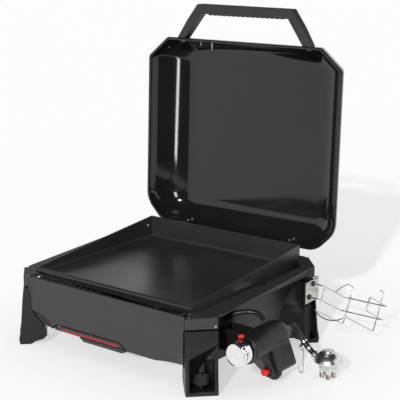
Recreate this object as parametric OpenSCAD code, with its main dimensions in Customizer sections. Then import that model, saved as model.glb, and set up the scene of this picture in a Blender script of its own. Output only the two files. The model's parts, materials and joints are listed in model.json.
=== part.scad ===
// Tabletop gas griddle with a hinged lid, levelling feet, a side valve housing and a wire cylinder cradle.
// Working coordinates: X to the right, Y to the hinges, Z up.
// x = y = 0 is the middle of the body and z = 0 the table.

/* [Body] */
// Width of the body across its side edges
body_w = 550; // [530:1:580]
// Depth of the body from front panel to rear panel
body_d = 448; // [440:1:470]
// Leg of the 45 degree cut at each corner
corner_cut = 48; // [44:1:52]
// Thickness of the body's sheet metal
sheet_t = 1.6; // [1.2:0.1:2.2]
// Height of the front edge of the shoulder above the table
deck_front_z = 162.5; // [158:0.5:172]
// Rise of the shoulder towards the hinges, in degrees
deck_slope = 3.1; // [2:0.1:4]
// Thickness of the moulded shoulder
deck_t = 3; // [2.5:0.5:4]
// Overhang of the shoulder beyond the sides and the rear
deck_over = 6.5; // [4:0.5:7]
// Width of the flat band along the outer edge of the shoulder
deck_band = 20; // [16:1:22]
// Height of the skirt at each corner of the shoulder
skirt_h = 25; // [18:1:32]
// How far a corner skirt stands out of the corner face
skirt_out = 10.5; // [8:0.5:12]
// Depth of a corner skirt measured inwards
skirt_deep = 20; // [14:1:24]
// Shadow gap between a skirt and the leg below it
seam = 4; // [2:0.5:8]
// Height of the lower edge of the front panel
panel_low = 52; // [48:1:58]
// Gap between the shoulder and the top edge of a wall panel
panel_gap = 0.9; // [0.7:0.1:1.2]
// How far the side panels stand in from the body's side edges
side_inset = 35; // [30:1:37]
// Height of the rear edge of a side panel's base
side_low_rear = 75; // [68:1:85]
// Height of the front edge of a side panel's base
side_low_front = 46; // [44:1:60]
// Depth of the crease pressed into a side panel
side_crease = 2; // [1:0.5:3]
// Radius of the pressed scoop in each lower corner of the front panel
scoop_r = 65; // [55:1:72]
// Greatest depth of a scoop
scoop_deep = 13; // [8:1:16]

/* [Plate] */
// Distance from each side of the griddle plate to the side edge of the body
plate_side = 50; // [46:1:60]
// Distance from the back of the griddle plate to the rear panel's face
plate_rear = 15; // [14:1:24]
// Distance from the front panel's face to the front of the plate
plate_set = 30; // [26:1:34]
// Height of the cooking surface above the table
floor_z = 166; // [165:0.5:170]
// Thickness of the plate's floor
floor_t = 4; // [3:0.5:5]
// Thickness of the plate's walls
wall_t = 3; // [2.5:0.5:4]
// Height of the wall's top at the front, above the table
rim_front_z = 180; // [178:1:186]
// Height of the wall's top at the back, above the table
rim_back_z = 220; // [205:1:232]
// Radius of the creases between floor and walls
crease_r = 8; // [4:1:12]
// Radius of the rolled front lip
lip_r = 5.5; // [4:0.5:6]
// Length of the drain slot
drain_l = 108; // [80:1:140]
// Width of the drain slot
drain_w = 8; // [6:1:9]
// Distance from the plate's left side to the drain slot
drain_set = 10; // [8:1:20]
// Radius of the holes through the side walls
wall_hole_r = 3; // [2:0.5:4]
// Clearance round the plate in its seat
plate_gap = 2; // [1:0.5:3]
// Width of the ledge that the plate rests on
ledge = 9; // [6:1:12]
// Pitch of the square holes in the vent strip
vent_pitch = 17; // [15:1:20]
// Width of one square hole
vent_hole = 8; // [6:0.5:10]
// Bulge of the crescent vent beside the plate wall
crescent_out = 24; // [16:1:26]
// Length of the crescent vent along the wall
crescent_l = 120; // [90:1:140]

/* [Lid] */
// Width of the lid across its rim
lid_w = 571; // [566:1:576]
// Length of the lid from hinge wall to handle wall
lid_l = 476; // [472:1:484]
// Depth of the lid
lid_h = 80; // [74:1:90]
// Straight band below the lid's rounded edge
lid_band = 20; // [14:1:26]
// Thickness of the lid's sheet
lid_t = 1.6; // [1.2:0.1:2.2]
// Width of the bead round the lid's rim
bead_w = 7; // [6:0.5:9]
// Height of the bead
bead_h = 5; // [4:0.5:7]
// Cut at the handle corners, measured along the handle wall
lid_cut_front = 60; // [52:1:66]
// Cut at the handle corners, measured along the side wall
lid_cut_side = 50; // [46:1:56]
// Cut at the hinge corners
lid_cut_rear = 51; // [46:1:56]
// Backward lean of the open lid, in degrees
lid_lean = 2; // [0:0.5:6]
// Gap between the closed rim and the shoulder
lid_gap = 0.6; // [0.5:0.1:1.5]

/* [Hinges] */
// Half the distance between the two hinges
hinge_x = 157; // [130:1:180]
// How far the pair of hinges stands left of the middle
hinge_left = 11; // [0:1:14]
// Distance of the hinge pin behind the rear panel
hinge_back = 28; // [26:0.5:32]
// Distance of the hinge pin below the closed rim
hinge_drop = 7.7; // [7:0.1:9]
// Distance of the hinge pin behind the lid's hinge wall
hinge_out = 13.3; // [12:0.1:16]
// Radius of the hinge pin
pin_r = 2.5; // [2:0.5:3]
// Outer radius of a hinge knuckle
knuckle_r = 5; // [4.5:0.1:5.5]
// Width of the lid's knuckle
knuckle_w = 14; // [10:1:18]
// Width of each base knuckle
ear_w = 9; // [7:1:12]
// Side gap between neighbouring knuckles
knuckle_gap = 0.5; // [0.3:0.1:1]
// Radial clearance of the pin in the lid's knuckle
pin_gap = 0.05; // [0.02:0.01:0.1]
// Thickness of the hinge metal
strap_t = 2.5; // [2:0.5:3]
// Width of a hinge strap
strap_w = 34; // [28:1:40]

/* [Handle] */
// Height of the handle above the lid's handle wall
handle_rise = 85; // [70:1:100]
// Width of the handle across its feet
handle_w = 408; // [380:1:430]
// Width of the handle across its outer top corners
handle_top_w = 294; // [260:1:320]
// Thickness of the grip bar
grip_t = 23; // [18:1:28]
// Width of the handle measured across the lid's rim
handle_deep = 26; // [20:1:30]
// Distance of the handle's middle from the lid's rim
handle_set = 21; // [18:1:24]
// Width of a handle leg at its foot
handle_foot = 38; // [30:1:44]
// Chamfer along the handle's edges
handle_cham = 4; // [2:0.5:5]

/* [Legs] */
// Width of the recess in a front leg
recess_w = 53; // [46:1:56]
// Height of the recess above the sole
recess_low = 10; // [8:1:14]
// Height of the recess roof above the table
recess_top = 78; // [72:1:90]
// Depth of the recess measured from the corner face
recess_deep = 15; // [15:1:17]
// Radius of the levelling stud
stud_r = 5; // [4:0.5:6]
// Radius of the thumbwheel
wheel_r = 17; // [15:0.5:19]
// Height of the thumbwheel
wheel_h = 25; // [18:1:28]
// Height of the thumbwheel's base above the table
wheel_z = 21; // [19:1:24]
// Outer radius of the threaded boss above the thumbwheel
boss_r = 10.5; // [9:0.5:12]
// Radius of the levelling pad
pad_r = 12; // [9:0.5:12]
// Thickness of the levelling pad
pad_h = 5; // [4:0.5:6]
// Radial clearance of the stud in its boss and pad
stud_gap = 0.06; // [0.03:0.01:0.1]
// Thickness of the rear rubber feet
foot_h = 3; // [2:0.5:5]
// Number of grips round a thumbwheel
wheel_grips = 20; // [14:1:26]

/* [Tray] */
// Width of the grease tray
tray_w = 178; // [150:1:190]
// Distance of the tray's middle to the left of the body's middle
tray_left = 44; // [40:1:50]
// Depth of the tray from front to back
tray_d = 170; // [140:1:190]
// Height of the tray's walls
tray_h = 14; // [10:1:16]
// Height of the tray's base above the table
tray_z = 50; // [49:0.5:52]
// Thickness of the tray's walls
tray_t = 1.5; // [1:0.1:2]
// Clearance round the tray's front in the panel's cut-out
tray_gap = 2; // [1:0.5:3]
// Height of the red stripe
stripe_h = 6; // [4:0.5:7]

/* [Gas] */
// Distance of the knob's axis outside the side edge of the body
knob_out = 60; // [56:1:68]
// Height of the knob's axis
knob_z = 98.5; // [94:0.5:104]
// Radius of the knob
knob_r = 25; // [21:0.5:26]
// Length of the knob
knob_l = 25; // [20:1:28]
// How far the knob pushes in
knob_push = 3; // [2:0.5:3]
// Distance of the knob's face behind the front panel's face
knob_set = 28; // [24:1:34]
// Radius of the collar behind the knob
collar_r = 27.5; // [26.5:0.5:29]
// Thickness of the collar
collar_t = 7; // [5:0.5:9]
// Radius of the valve stem
stem_r = 4; // [3:0.5:5]
// Radial clearance of the valve stem
stem_gap = 0.06; // [0.03:0.01:0.1]
// Radius of the igniter button
button_r = 7.5; // [6:0.5:9]
// Length of the igniter button outside its boss
button_out = 10; // [8:1:12]
// How far the igniter button pushes in
button_push = 4; // [3:0.5:5]
// Radial clearance of the igniter button
button_gap = 0.1; // [0.05:0.01:0.1]
// Radius of the igniter boss
igniter_r = 21; // [18:0.5:22]
// Radius of the gas tube
tube_r = 5; // [4:0.5:5.5]
// Radius of the hose
hose_r = 6.2; // [5:0.1:6.5]
// Radius of the burner tubes
burner_r = 12; // [10:0.5:14]
// Height of the burner's axis
burner_z = 134; // [128:1:138]
// Distance from the front panel to the burner's front run
burner_set = 124; // [118:1:136]
// Number of flame ports along each run
port_count = 14; // [8:1:18]

/* [Cradle] */
// Radius of the cradle's wire
wire_r = 1.5; // [1.2:0.1:2]
// Backward tilt of the cylinder, in degrees
cradle_tilt = 28.7; // [24:0.1:33]
// Spacing of the two rails
rail_gap = 32; // [28:0.5:34]
// Length of the rails from the bracket to their first bend
rail_out = 28; // [26:0.5:34]
// Length of the rails along the cylinder
rail_deep = 106; // [96:1:116]
// Width of the cradle between its side arms
cradle_w = 113; // [108:1:122]
// Length of the outer side arms
arm_l = 94; // [80:1:100]
// Distance between the hoop's two lower runs
hoop_w = 79; // [72:1:84]
// Depth of the lower runs below the upper rail
hoop_drop = 61.5; // [56:0.5:68]
// How far the hoop reaches past the rails' first bend, towards the cylinder's neck
hoop_front = 35.5; // [28:0.5:44]
// Sag of the front arc below the lower runs
hoop_sag = 15; // [10:0.5:20]
// Height of the uprights above the upper rail
hoop_up = 29; // [24:0.5:34]
// Radius of the hanging match holder's ring
ring_r = 5.7; // [5:0.1:7]
// Thickness of the match holder's wire, as a radius
match_r = 1.1; // [0.9:0.1:1.4]

/* [Hidden] */
$fn = 48;
EPS = 0.01;
bend_steps = 3;
FAR = 2000;

// Body
half_w = body_w / 2;
half_d = body_d / 2;
face_w = corner_cut * sqrt(2);
side_x = half_w - side_inset;
function deck_z(y) = deck_front_z + (y + half_d) * tan(deck_slope);
leg_gap = 0.2;
leg_top_front = deck_z(-half_d + corner_cut) - skirt_h - seam;
leg_top_rear = deck_z(half_d - corner_cut) - skirt_h - seam;
skirt_span_x = half_w - corner_cut;
body_outline = [[-skirt_span_x, -half_d], [skirt_span_x, -half_d], [half_w, -half_d + corner_cut],
  [half_w, half_d - corner_cut], [skirt_span_x, half_d], [-skirt_span_x, half_d],
  [-half_w, half_d - corner_cut], [-half_w, -half_d + corner_cut]];

// Outline helpers: the points run anticlockwise
function edge_normal(a, b) = [b[1] - a[1], a[0] - b[0]] / norm(b - a);
function inset_point(p, q, r, d) = q - d * (edge_normal(p, q) + edge_normal(q, r))
  / (1 + edge_normal(p, q) * edge_normal(q, r));
function inset_outline(pts, d) = let (n = len(pts))
  [for (i = [0:n - 1]) inset_point(pts[(i + n - 1) % n], pts[i], pts[(i + 1) % n], d)];

// Plate
plate_w = body_w - 2 * plate_side;
plate_d = body_d - plate_set - plate_rear;
plate_front = -half_d + plate_set;
plate_back = plate_front + plate_d;
seat_z = floor_z - floor_t;
function rim_z(y) = rim_front_z + (rim_back_z - rim_front_z) * (y - plate_front) / plate_d;
seat_w = plate_w + 2 * plate_gap;
seat_back = plate_back + plate_gap;
gutter_rise = 7;
gutter_y0 = -half_d + 24;
gutter_x1 = half_w + deck_over - deck_band;
gutter_steps = 6;
// width of the band left along the cut corners
corner_rim = 6;

// Lid, drawn with Y as depth from the rim and Z as length from the hinge wall
lid_r = lid_h - lid_band;
lid_half = lid_w / 2;
lid_steps = 12;
lid_outline = [[-lid_half + lid_cut_rear, 0], [lid_half - lid_cut_rear, 0], [lid_half, lid_cut_rear],
  [lid_half, lid_l - lid_cut_side], [lid_half - lid_cut_front, lid_l],
  [-lid_half + lid_cut_front, lid_l], [-lid_half, lid_l - lid_cut_side], [-lid_half, lid_cut_rear]];
hinge_y = half_d + hinge_back;
hinge_z = deck_z(hinge_y) + lid_gap - hinge_drop;
lid_screw_r = 2;
hinge_places = [-hinge_left - hinge_x, -hinge_left + hinge_x];
// each screw's side offset and its angle round the rounded edge
strap_screws = [[-7, 16.5], [1, 24]];
strap_reach = 40;
handle_top = lid_l + handle_rise;
handle_screw_w = handle_set - 7;
handle_screw_places = [for (m = [-1, 1]) for (s = [-3.4, 3.4]) m * (handle_w - handle_foot) / 2 + s];

// Legs
stud_u = -2;
// reach of a leg's upright core behind the corner face, and of the firebox's cut corners
leg_core = 25.5;
liner_corner = 27;
stud_s = face_w / 2;

// Tray
tray_mid = -tray_left;
tray_front = -half_d + sheet_t;
cut_low_w = tray_w + 2 * tray_gap + 44;
cut_top_w = tray_w + 2 * tray_gap;
cut_top_z = tray_z + tray_h + tray_gap;
runner_t = 1.6;
tray_flange = 6;

// Valve housing
burner_y = half_d - burner_set;
knob_x = half_w + knob_out;
knob_face = -half_d + knob_set;
knob_at = [knob_x, knob_face, knob_z];
collar_back = knob_face + knob_l + knob_push + 0.5 + collar_t;
igniter_x = knob_x + 12;
igniter_z = 36;
igniter_front = knob_face + 97;
box_x = knob_x + 8;
// outer face of the creased side panel, which carries the valve and its arm
flank_x = side_x + sheet_t + side_crease;
orifice_r = 4.5;
orifice_seat = 2;

// Cradle
bracket_x = half_w + 11;
bracket_y = half_d - 85;
bracket_w = 58;
bracket_z = 105;
bracket_h = 51;
bracket_t = 2;
hole_up = [bracket_x, bracket_y + 34, bracket_z + 42];
tilt_back = [0, cos(cradle_tilt), -sin(cradle_tilt)];
tilt_down = [0, -sin(cradle_tilt), -cos(cradle_tilt)];
function cradle(x, back, down) = hole_up + [x, 0, 0] + tilt_back * back + tilt_down * down;
hoop_x = rail_out + 15;
far_x = rail_out + cradle_w;

// Placing: the origin is on the table, under the middle of the whole griddle
leg_out = 25.5;
far_left = -half_w - leg_out / sqrt(2);
far_right = hole_up[0] + far_x + wire_r;
far_front = -half_d - leg_out / sqrt(2);
far_back = hinge_y + (lid_h - lid_r + hinge_drop) * cos(lid_lean)
  + (lid_l - lid_r + hinge_out) * sin(lid_lean) + lid_r;
centre_x = (far_left + far_right) / 2;
centre_y = (far_front + far_back) / 2;
module place() {
  translate([-centre_x, -centre_y, 0])
    children();
}
// Draws its children at both signs of X
module both_sides() {
  children();
  mirror([1, 0, 0])
    children();
}
// A straight rod between two points
module rod(a, b, r) {
  d = b - a;
  translate(a)
    rotate([0, acos(d[2] / norm(d)), atan2(d[1], d[0])])
      cylinder(r = r, h = norm(d));
}
// Points of a bent wire: each inner point becomes a bend of the given radius
function bend_points(a, b, c, r) = let (u = unit(a - b), v = unit(c - b),
  turn = acos(max(-1, min(1, -(u * v)))), cutback = r * tan(turn / 2), w = unit(u + v),
  centre = b + w * (r / cos(turn / 2)))
  [for (k = [0:bend_steps]) let (t = -turn / 2 + turn * k / bend_steps)
    centre - w * (r * cos(t)) + unit(v - u) * (r * sin(t))];
function bent_route(pts, r) = let (n = len(pts))
  concat([pts[0]], [for (i = [1:n - 2]) each bend_points(pts[i - 1], pts[i], pts[i + 1], r)], [pts[n - 1]]);
// A bent wire of round section
module wire(pts, r, bend = 5, sides = 8) {
  swept_tube(bent_route(pts, bend), r, sides);
}
// Extrudes a drawing in (y, z) along X, centred
module across(width) {
  rotate([90, 0, 90])
    translate([0, 0, -width / 2])
      linear_extrude(width)
        children();
}
// Extrudes a drawing in (x, z) backwards from y
module backwards(y, depth) {
  translate([0, y + depth, 0])
    rotate([90, 0, 0])
      linear_extrude(depth)
        children();
}
// Frame of the corner face at the front right: x along the face, y inwards, z up
module corner_frame() {
  translate([half_w - corner_cut, -half_d, 0])
    rotate([0, 0, 45])
      children();
}
// Frame of the open lid at its hinge wall and rim
module lid_frame() {
  translate([0, hinge_y, hinge_z])
    rotate([-lid_lean, 0, 0])
      translate([0, hinge_drop, hinge_out])
        children();
}
// A screw along +Z with its head below z = 0
module screw(r, l, head_r, head_h) {
  translate([0, 0, -head_h])
    cylinder(r = head_r, h = head_h + EPS);
  cylinder(r = r, h = l);
}

// Lid

// The lid's pillow form, drawn with the outline in (x, y) and the depth along Z, reaching below the rim
module lid_form(inset, below = 0) {
  pts = inset_outline(lid_outline, inset);
  r = lid_r - inset;
  n = len(pts);
  arc = [for (k = [0:lid_steps]) let (t = 90 * k / lid_steps) [r * (1 - cos(t)), lid_band + r * sin(t)]];
  intersection_for (k = [0:n - 1]) {
    a = pts[k];
    b = pts[(k + 1) % n];
    translate([a[0], a[1], 0])
      rotate([0, 0, atan2(b[1] - a[1], b[0] - a[0])])
        rotate([90, 0, 90])
          translate([0, 0, -FAR / 2])
            linear_extrude(FAR)
              polygon(concat([[FAR, -below], [0, -below]], arc, [[FAR, lid_band + r]]));
  }
}
// Turns a drawing in the lid's outline plane into the open lid's frame
module lid_upright() {
  rotate([90, 0, 180])
    children();
}
module lid_screw_holes(r) {
  for (x = hinge_places)
    for (p = strap_screws)
      translate([x + p[0], lid_band, lid_r])
        rotate([p[1], 0, 0])
          translate([0, 0, -lid_r - strap_t - 2])
            cylinder(r = r, h = strap_t + lid_t + 4);
}
module handle_screw_holes(r) {
  for (x = handle_screw_places)
    translate([x, handle_screw_w, lid_l - lid_t - 3])
      cylinder(r = r, h = 14);
}
module lid_shell() {
  place() color("#101010")
    lid_frame()
      difference() {
        union() {
          lid_upright()
            difference() {
              lid_form(0);
              lid_form(lid_t, 1);
            }
          lid_upright()
            linear_extrude(bead_h)
              difference() {
                polygon(lid_outline);
                polygon(inset_outline(lid_outline, bead_w));
              }
        }
        lid_screw_holes(lid_screw_r + 0.2);
        handle_screw_holes(lid_screw_r + 0.2);
      }
}
module bevelled_slab(pts, t, c) {
  hull() {
    translate([0, 0, c])
      linear_extrude(t - 2 * c)
        polygon(pts);
    linear_extrude(t)
      polygon(inset_outline(pts, c));
  }
}
module lid_handle() {
  top = handle_top;
  outer = handle_w / 2;
  crown = handle_top_w / 2;
  inner_crown = crown - 25;
  under = top - grip_t;
  place() color("#1c1c1c")
    lid_frame()
      translate([0, handle_set - handle_deep / 2, 0])
        lid_upright() {
          bevelled_slab([[-inner_crown - 3, under], [inner_crown + 3, under], [crown, top],
            [-crown, top]], handle_deep, handle_cham);
          both_sides()
            bevelled_slab([[outer - handle_foot, lid_l], [outer, lid_l],
              [outer - 2, lid_l + 8], [crown, top], [inner_crown, under]],
              handle_deep, handle_cham);
          for (x = [-96:12:96])
            translate([x, under + 0.5, handle_deep / 2])
              rotate([90, 0, 0])
                rotate([0, 90, 0])
                  translate([0, 0, -1.8])
                    cylinder(r = 0.1 + handle_deep / 2 - 2 * handle_cham, h = 3.6);
        }
}
module handle_screws() {
  place() color("silver")
    lid_frame()
      for (x = handle_screw_places)
        translate([x, handle_screw_w, lid_l - lid_t])
          screw(lid_screw_r, lid_t, 2.7, 8);
}
module hinge_screws() {
  place() color("silver")
    lid_frame()
      for (x = hinge_places)
        for (p = strap_screws)
          translate([x + p[0], lid_band, lid_r])
            rotate([180 + p[1], 0, 0])
              translate([0, 0, lid_r - lid_t])
                screw(lid_screw_r, lid_t + strap_t + 0.5, 3.2, 2);
}
module lid_studs() {
  place() color("silver")
    lid_frame()
      for (p = [[-129, 1.5, 16], [-94, 2.6, 25]])
        translate([p[0], handle_screw_w, lid_l - lid_t - p[2]]) {
          cylinder(r1 = 1, r2 = p[1], h = p[2]);
          translate([0, 0, p[2] / 2])
            cylinder(r = p[1] + 0.6, h = p[2] / 2);
        }
}

// Hinges

module strap_profile() {
  // the strap hugs the lid's band and its rounded edge
  translate([0, -strap_t])
    square([lid_band, strap_t]);
  intersection() {
    translate([lid_band, lid_r])
      difference() {
        circle(r = lid_r + strap_t, $fn = 180);
        circle(r = lid_r, $fn = 180);
      }
    translate([lid_band, -strap_t])
      square([strap_reach, lid_r / 2]);
  }
}
module lid_hinge_straps() {
  place() color("dimgray")
    lid_frame()
      difference() {
        for (x = hinge_places)
          translate([x, 0, 0]) {
            across(strap_w)
              strap_profile();
            across(knuckle_w)
              difference() {
                union() {
                  translate([-hinge_drop, -hinge_out])
                    circle(r = knuckle_r);
                  polygon([[-hinge_drop - knuckle_r * 0.7, -hinge_out + knuckle_r * 0.7],
                    [-hinge_drop + knuckle_r * 0.7, -hinge_out - knuckle_r * 0.7],
                    [strap_t * 3, -strap_t], [strap_t * 3, 0], [0, 0]]);
                }
                translate([-hinge_drop, -hinge_out])
                  circle(r = pin_r + pin_gap);
              }
          }
        lid_screw_holes(lid_screw_r + 0.1);
      }
}
module base_hinge_brackets() {
  plate_low = deck_z(half_d) - 52;
  plate_top = deck_z(half_d) - 12;
  place() color("dimgray")
    for (x = hinge_places)
      translate([x, 0, 0]) {
        translate([-knuckle_w / 2 - knuckle_gap - ear_w, half_d, plate_low])
          cube([knuckle_w + 2 * (knuckle_gap + ear_w), strap_t, plate_top - plate_low]);
        for (s = [-1, 1])
          translate([s * (knuckle_w / 2 + knuckle_gap + ear_w / 2), 0, 0])
            across(ear_w)
              difference() {
                union() {
                  translate([hinge_y, hinge_z])
                    circle(r = knuckle_r);
                  polygon([[half_d, plate_low], [hinge_y + knuckle_r * 0.7,
                    hinge_z - knuckle_r * 0.7], [hinge_y - knuckle_r * 0.7,
                    hinge_z + knuckle_r * 0.7], [half_d, plate_top]]);
                }
                translate([hinge_y, hinge_z])
                  circle(r = pin_r);
              }
      }
}
module hinge_pins() {
  l = knuckle_w + 2 * (knuckle_gap + ear_w);
  place() color("silver")
    for (x = hinge_places)
      translate([x - l / 2, hinge_y, hinge_z])
        rotate([0, 90, 0]) {
          cylinder(r = pin_r, h = l);
          translate([0, 0, -2])
            cylinder(r = pin_r + 1.5, h = 2);
          translate([0, 0, l])
            cylinder(r = pin_r + 1, h = 1.5);
        }
}

// Plate and its seat

module pan_profile(a, b) {
  translate([a, floor_z + crease_r])
    square([b - a, rim_back_z]);
  translate([a + crease_r, floor_z])
    square([b - a - 2 * crease_r, crease_r + 1]);
  translate([a + crease_r, floor_z + crease_r])
    circle(r = crease_r);
  translate([b - crease_r, floor_z + crease_r])
    circle(r = crease_r);
}
module griddle_plate() {
  lip_y = plate_front - 3;
  lip_z = rim_front_z - lip_r;
  ramp = 17;
  place() color("#2c2c2c")
    difference() {
      union() {
        difference() {
          across(plate_w)
            polygon([[plate_front, seat_z], [plate_back, seat_z], [plate_back, rim_back_z],
              [plate_front, rim_front_z]]);
          intersection() {
            across(FAR)
              pan_profile(plate_front - 40, plate_back - wall_t);
            backwards(-FAR / 2, FAR)
              pan_profile(-plate_w / 2 + wall_t, plate_w / 2 - wall_t);
          }
        }
        across(plate_w)
          polygon([[plate_front, seat_z], [lip_y, lip_z - lip_r], [lip_y, rim_front_z],
            [plate_front + ramp, floor_z]]);
        across(plate_w + 5)
          translate([lip_y, lip_z])
            circle(r = lip_r);
      }
      for (s = [-1, 1])
        translate([s * plate_w / 2, plate_back - 17, rim_back_z - 22])
          rotate([0, 90, 0])
            cylinder(r = wall_hole_r, h = 4 * wall_t, center = true);
      translate([-plate_w / 2 + drain_set, plate_front + ramp / 2 - drain_w / 2, seat_z - 1])
        cube([drain_l, drain_w, 30]);
    }
}
module shoulder_outline() {
  polygon([[-skirt_span_x, -half_d], [skirt_span_x, -half_d],
    [half_w + deck_over, -half_d + corner_cut + deck_over],
    [half_w + deck_over, half_d - corner_cut],
    [skirt_span_x, half_d + deck_over], [-skirt_span_x, half_d + deck_over],
    [-half_w - deck_over, half_d - corner_cut],
    [-half_w - deck_over, -half_d + corner_cut + deck_over]]);
}
module corner_skirt(top_z, leg_top) {
  corner_frame()
    translate([0, -skirt_out, leg_top + seam])
      difference() {
        cube([face_w, skirt_out + skirt_deep, top_z - leg_top]);
        translate([3, 3, -EPS])
          cube([face_w - 6, skirt_out + skirt_deep, top_z - leg_top - seam - deck_t]);
      }
}
// One flat piece of the gutter: four top points, anticlockwise, and a thickness
module ramp_piece(pts, t) {
  polyhedron(points = concat(pts, [for (p = pts) p - [0, 0, t]]),
    faces = [[3, 2, 1], [3, 1, 0], [5, 6, 7], [4, 5, 7], [0, 1, 5, 4], [1, 2, 6, 5], [2, 3, 7, 6],
      [3, 0, 4, 7]]);
}
// Height of the side gutter, which falls from the shoulder's band to the plate's seat
function gutter_z(x, y) = let (low = deck_front_z + gutter_rise * (y - gutter_y0) / (seat_back - gutter_y0))
  low + (deck_z(y) - low) * (x - seat_w / 2) / (gutter_x1 - seat_w / 2);
function gutter_point(x, k) = let (y = gutter_y0 + (seat_back - gutter_y0) * k / gutter_steps)
  [x, y, gutter_z(x, y)];
// The gutter's outer edge, which ends inside the band
function gutter_edge(k) = gutter_point(gutter_x1, k) + [0.5, 0, -0.4];
// Everything under the sloping deck, down to the given depth
module under_deck(depth) {
  translate([0, -half_d, deck_front_z])
    rotate([deck_slope, 0, 0])
      translate([-half_w - 40, -40, -depth])
        cube([body_w + 80, body_d + 80, depth]);
}
module shoulder() {
  in_x = seat_w / 2;
  rear_out = half_d - corner_rim + 0.5;
  low_rear = deck_front_z + gutter_rise;
  ramp_top = deck_z(rear_out) - 0.4;
  rim = inset_outline(body_outline, corner_rim);
  place() color("#191919")
    difference() {
      union() {
        // sloping band with a wide opening
        intersection() {
          under_deck(deck_t);
          linear_extrude(FAR)
            difference() {
              shoulder_outline();
              intersection() {
                polygon(rim);
                translate([-gutter_x1, gutter_y0])
                  square([2 * gutter_x1, rear_out - gutter_y0]);
              }
            }
        }
        intersection() {
          under_deck(FAR);
          union() {
            both_sides() {
              corner_skirt(leg_top_front + skirt_h + 3, leg_top_front);
              mirror([0, 1, 0])
                corner_skirt(leg_top_rear + skirt_h + 6, leg_top_rear);
            }
            // walls between the band and the gutter at the cut corners
            translate([0, 0, seat_z])
              linear_extrude(FAR)
                intersection() {
                  difference() {
                    polygon(inset_outline(body_outline, corner_rim - 2));
                    polygon(rim);
                  }
                  both_sides()
                    translate([in_x, -half_d])
                      square([half_w, body_d]);
                }
          }
        }
        // gutter
        intersection() {
          linear_extrude(FAR)
            polygon(inset_outline(body_outline, corner_rim - 1));
          union() {
            both_sides()
              for (k = [0:gutter_steps - 1])
                ramp_piece([gutter_point(in_x, k), gutter_edge(k), gutter_edge(k + 1),
                  gutter_point(in_x, k + 1)], deck_t);
            ramp_piece([[-gutter_x1, seat_back, low_rear], [gutter_x1, seat_back, low_rear],
              [gutter_x1, rear_out + 0.5, ramp_top], [-gutter_x1, rear_out + 0.5, ramp_top]],
              deck_t);
          }
        }
      }
      // seat of the plate
      translate([-in_x, -FAR, seat_z - 2.6])
        cube([2 * in_x, FAR + seat_back, FAR]);
      for (s = [-1, 1])
        translate([s * (in_x + crescent_out - crescent_radius()), plate_back - plate_d / 2, 0])
          cylinder(r = crescent_radius(), h = FAR);
    }
}
function crescent_radius() = (pow(crescent_l / 2, 2) + pow(crescent_out, 2)) / (2 * crescent_out);

// Body panels

module scoop_cut() {
  // a shallow sphere whose edge on the panel's face is a circle of scoop_r
  ball_r = (pow(scoop_r, 2) + pow(scoop_deep + 5, 2)) / (2 * (scoop_deep + 5));
  both_sides()
    translate([skirt_span_x - 22, -half_d - ball_r + scoop_deep + 5, panel_low - 32])
      sphere(r = ball_r, $fn = 96);
}
module front_panel() {
  top = deck_front_z + 1.5;
  block = scoop_deep + 3;
  place() color("#343434")
    difference() {
      union() {
        backwards(-half_d, sheet_t)
          translate([-skirt_span_x, panel_low])
            square([2 * skirt_span_x, top - panel_low]);
        both_sides()
          translate([skirt_span_x - 92, -half_d, panel_low])
            cube([92, block, 44]);
      }
      // mitred ends beside the legs
      both_sides()
        translate([skirt_span_x - leg_gap * sqrt(2), -half_d, 0])
          rotate([0, 0, 45])
            translate([0, -40, 0])
              cube([80, 80 + block * 2, FAR]);
      scoop_cut();
      backwards(-half_d - 1, 80)
        translate([tray_mid, 0])
          polygon([[-cut_low_w / 2, panel_low - EPS], [cut_low_w / 2, panel_low - EPS],
            [cut_top_w / 2, cut_top_z], [-cut_top_w / 2, cut_top_z]]);
    }
}
module side_panels() {
  y0 = -half_d + 60;
  y1 = half_d - 58;
  under = deck_t + panel_gap;
  crease_top = y0 + 220;
  crease_high = 152;
  place() color("#4a4a4a")
    difference() {
      both_sides()
        translate([side_x, 0, 0])
          rotate([90, 0, 90]) {
            linear_extrude(sheet_t)
              polygon([[y0, side_low_front], [y0 + 86, side_low_front], [y1 - 30, side_low_rear],
                [y1, side_low_rear], [y1, gutter_z(side_x, y1) - under],
                [y0, gutter_z(side_x, y0) - under]]);
            translate([0, 0, sheet_t - EPS])
              linear_extrude(side_crease + EPS)
                polygon([[y0 + 2, side_low_front + 2], [y0 + 86, side_low_front + 2],
                  [y1 - 30, side_low_rear + 8], [crease_top, crease_high],
                  [y0 + 2, crease_high]]);
          }
      // hole for the gas valve's orifice
      translate([side_x - 1, -burner_y, burner_z])
        rotate([0, 90, 0])
          cylinder(r = orifice_r, h = 10);
    }
}
module rear_panel() {
  top = deck_z(half_d) - 8;
  end_x = skirt_span_x - sheet_t - 2 * leg_gap;
  place() color("#262626")
    backwards(half_d - sheet_t, sheet_t)
      difference() {
        translate([-end_x, panel_low + 8])
          square([2 * end_x, top - panel_low - 8]);
        for (x = [-100:20:100])
          translate([x - 5, 80])
            square([10, 34]);
      }
}
module bottom_pan() {
  place() color("#3a3a3a")
    translate([0, 0, panel_low + 20])
      difference() {
        linear_extrude(sheet_t)
          difference() {
            polygon(inset_outline(body_outline, 36));
            translate([tray_mid - tray_w / 2 + 12, plate_front + 10])
              square([tray_w - 24, tray_d - 40]);
          }
      }
}
liner_low = panel_low + 20 + sheet_t;
liner_x = seat_w / 2 - 0.3;
module liner_shape(inset) {
  intersection() {
    polygon(inset_outline(body_outline, liner_corner + inset));
    translate([-liner_x + inset, plate_front - 6 + inset])
      square([2 * (liner_x - inset), seat_back + 2 - plate_front + 6 - 2 * inset]);
  }
}
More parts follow.
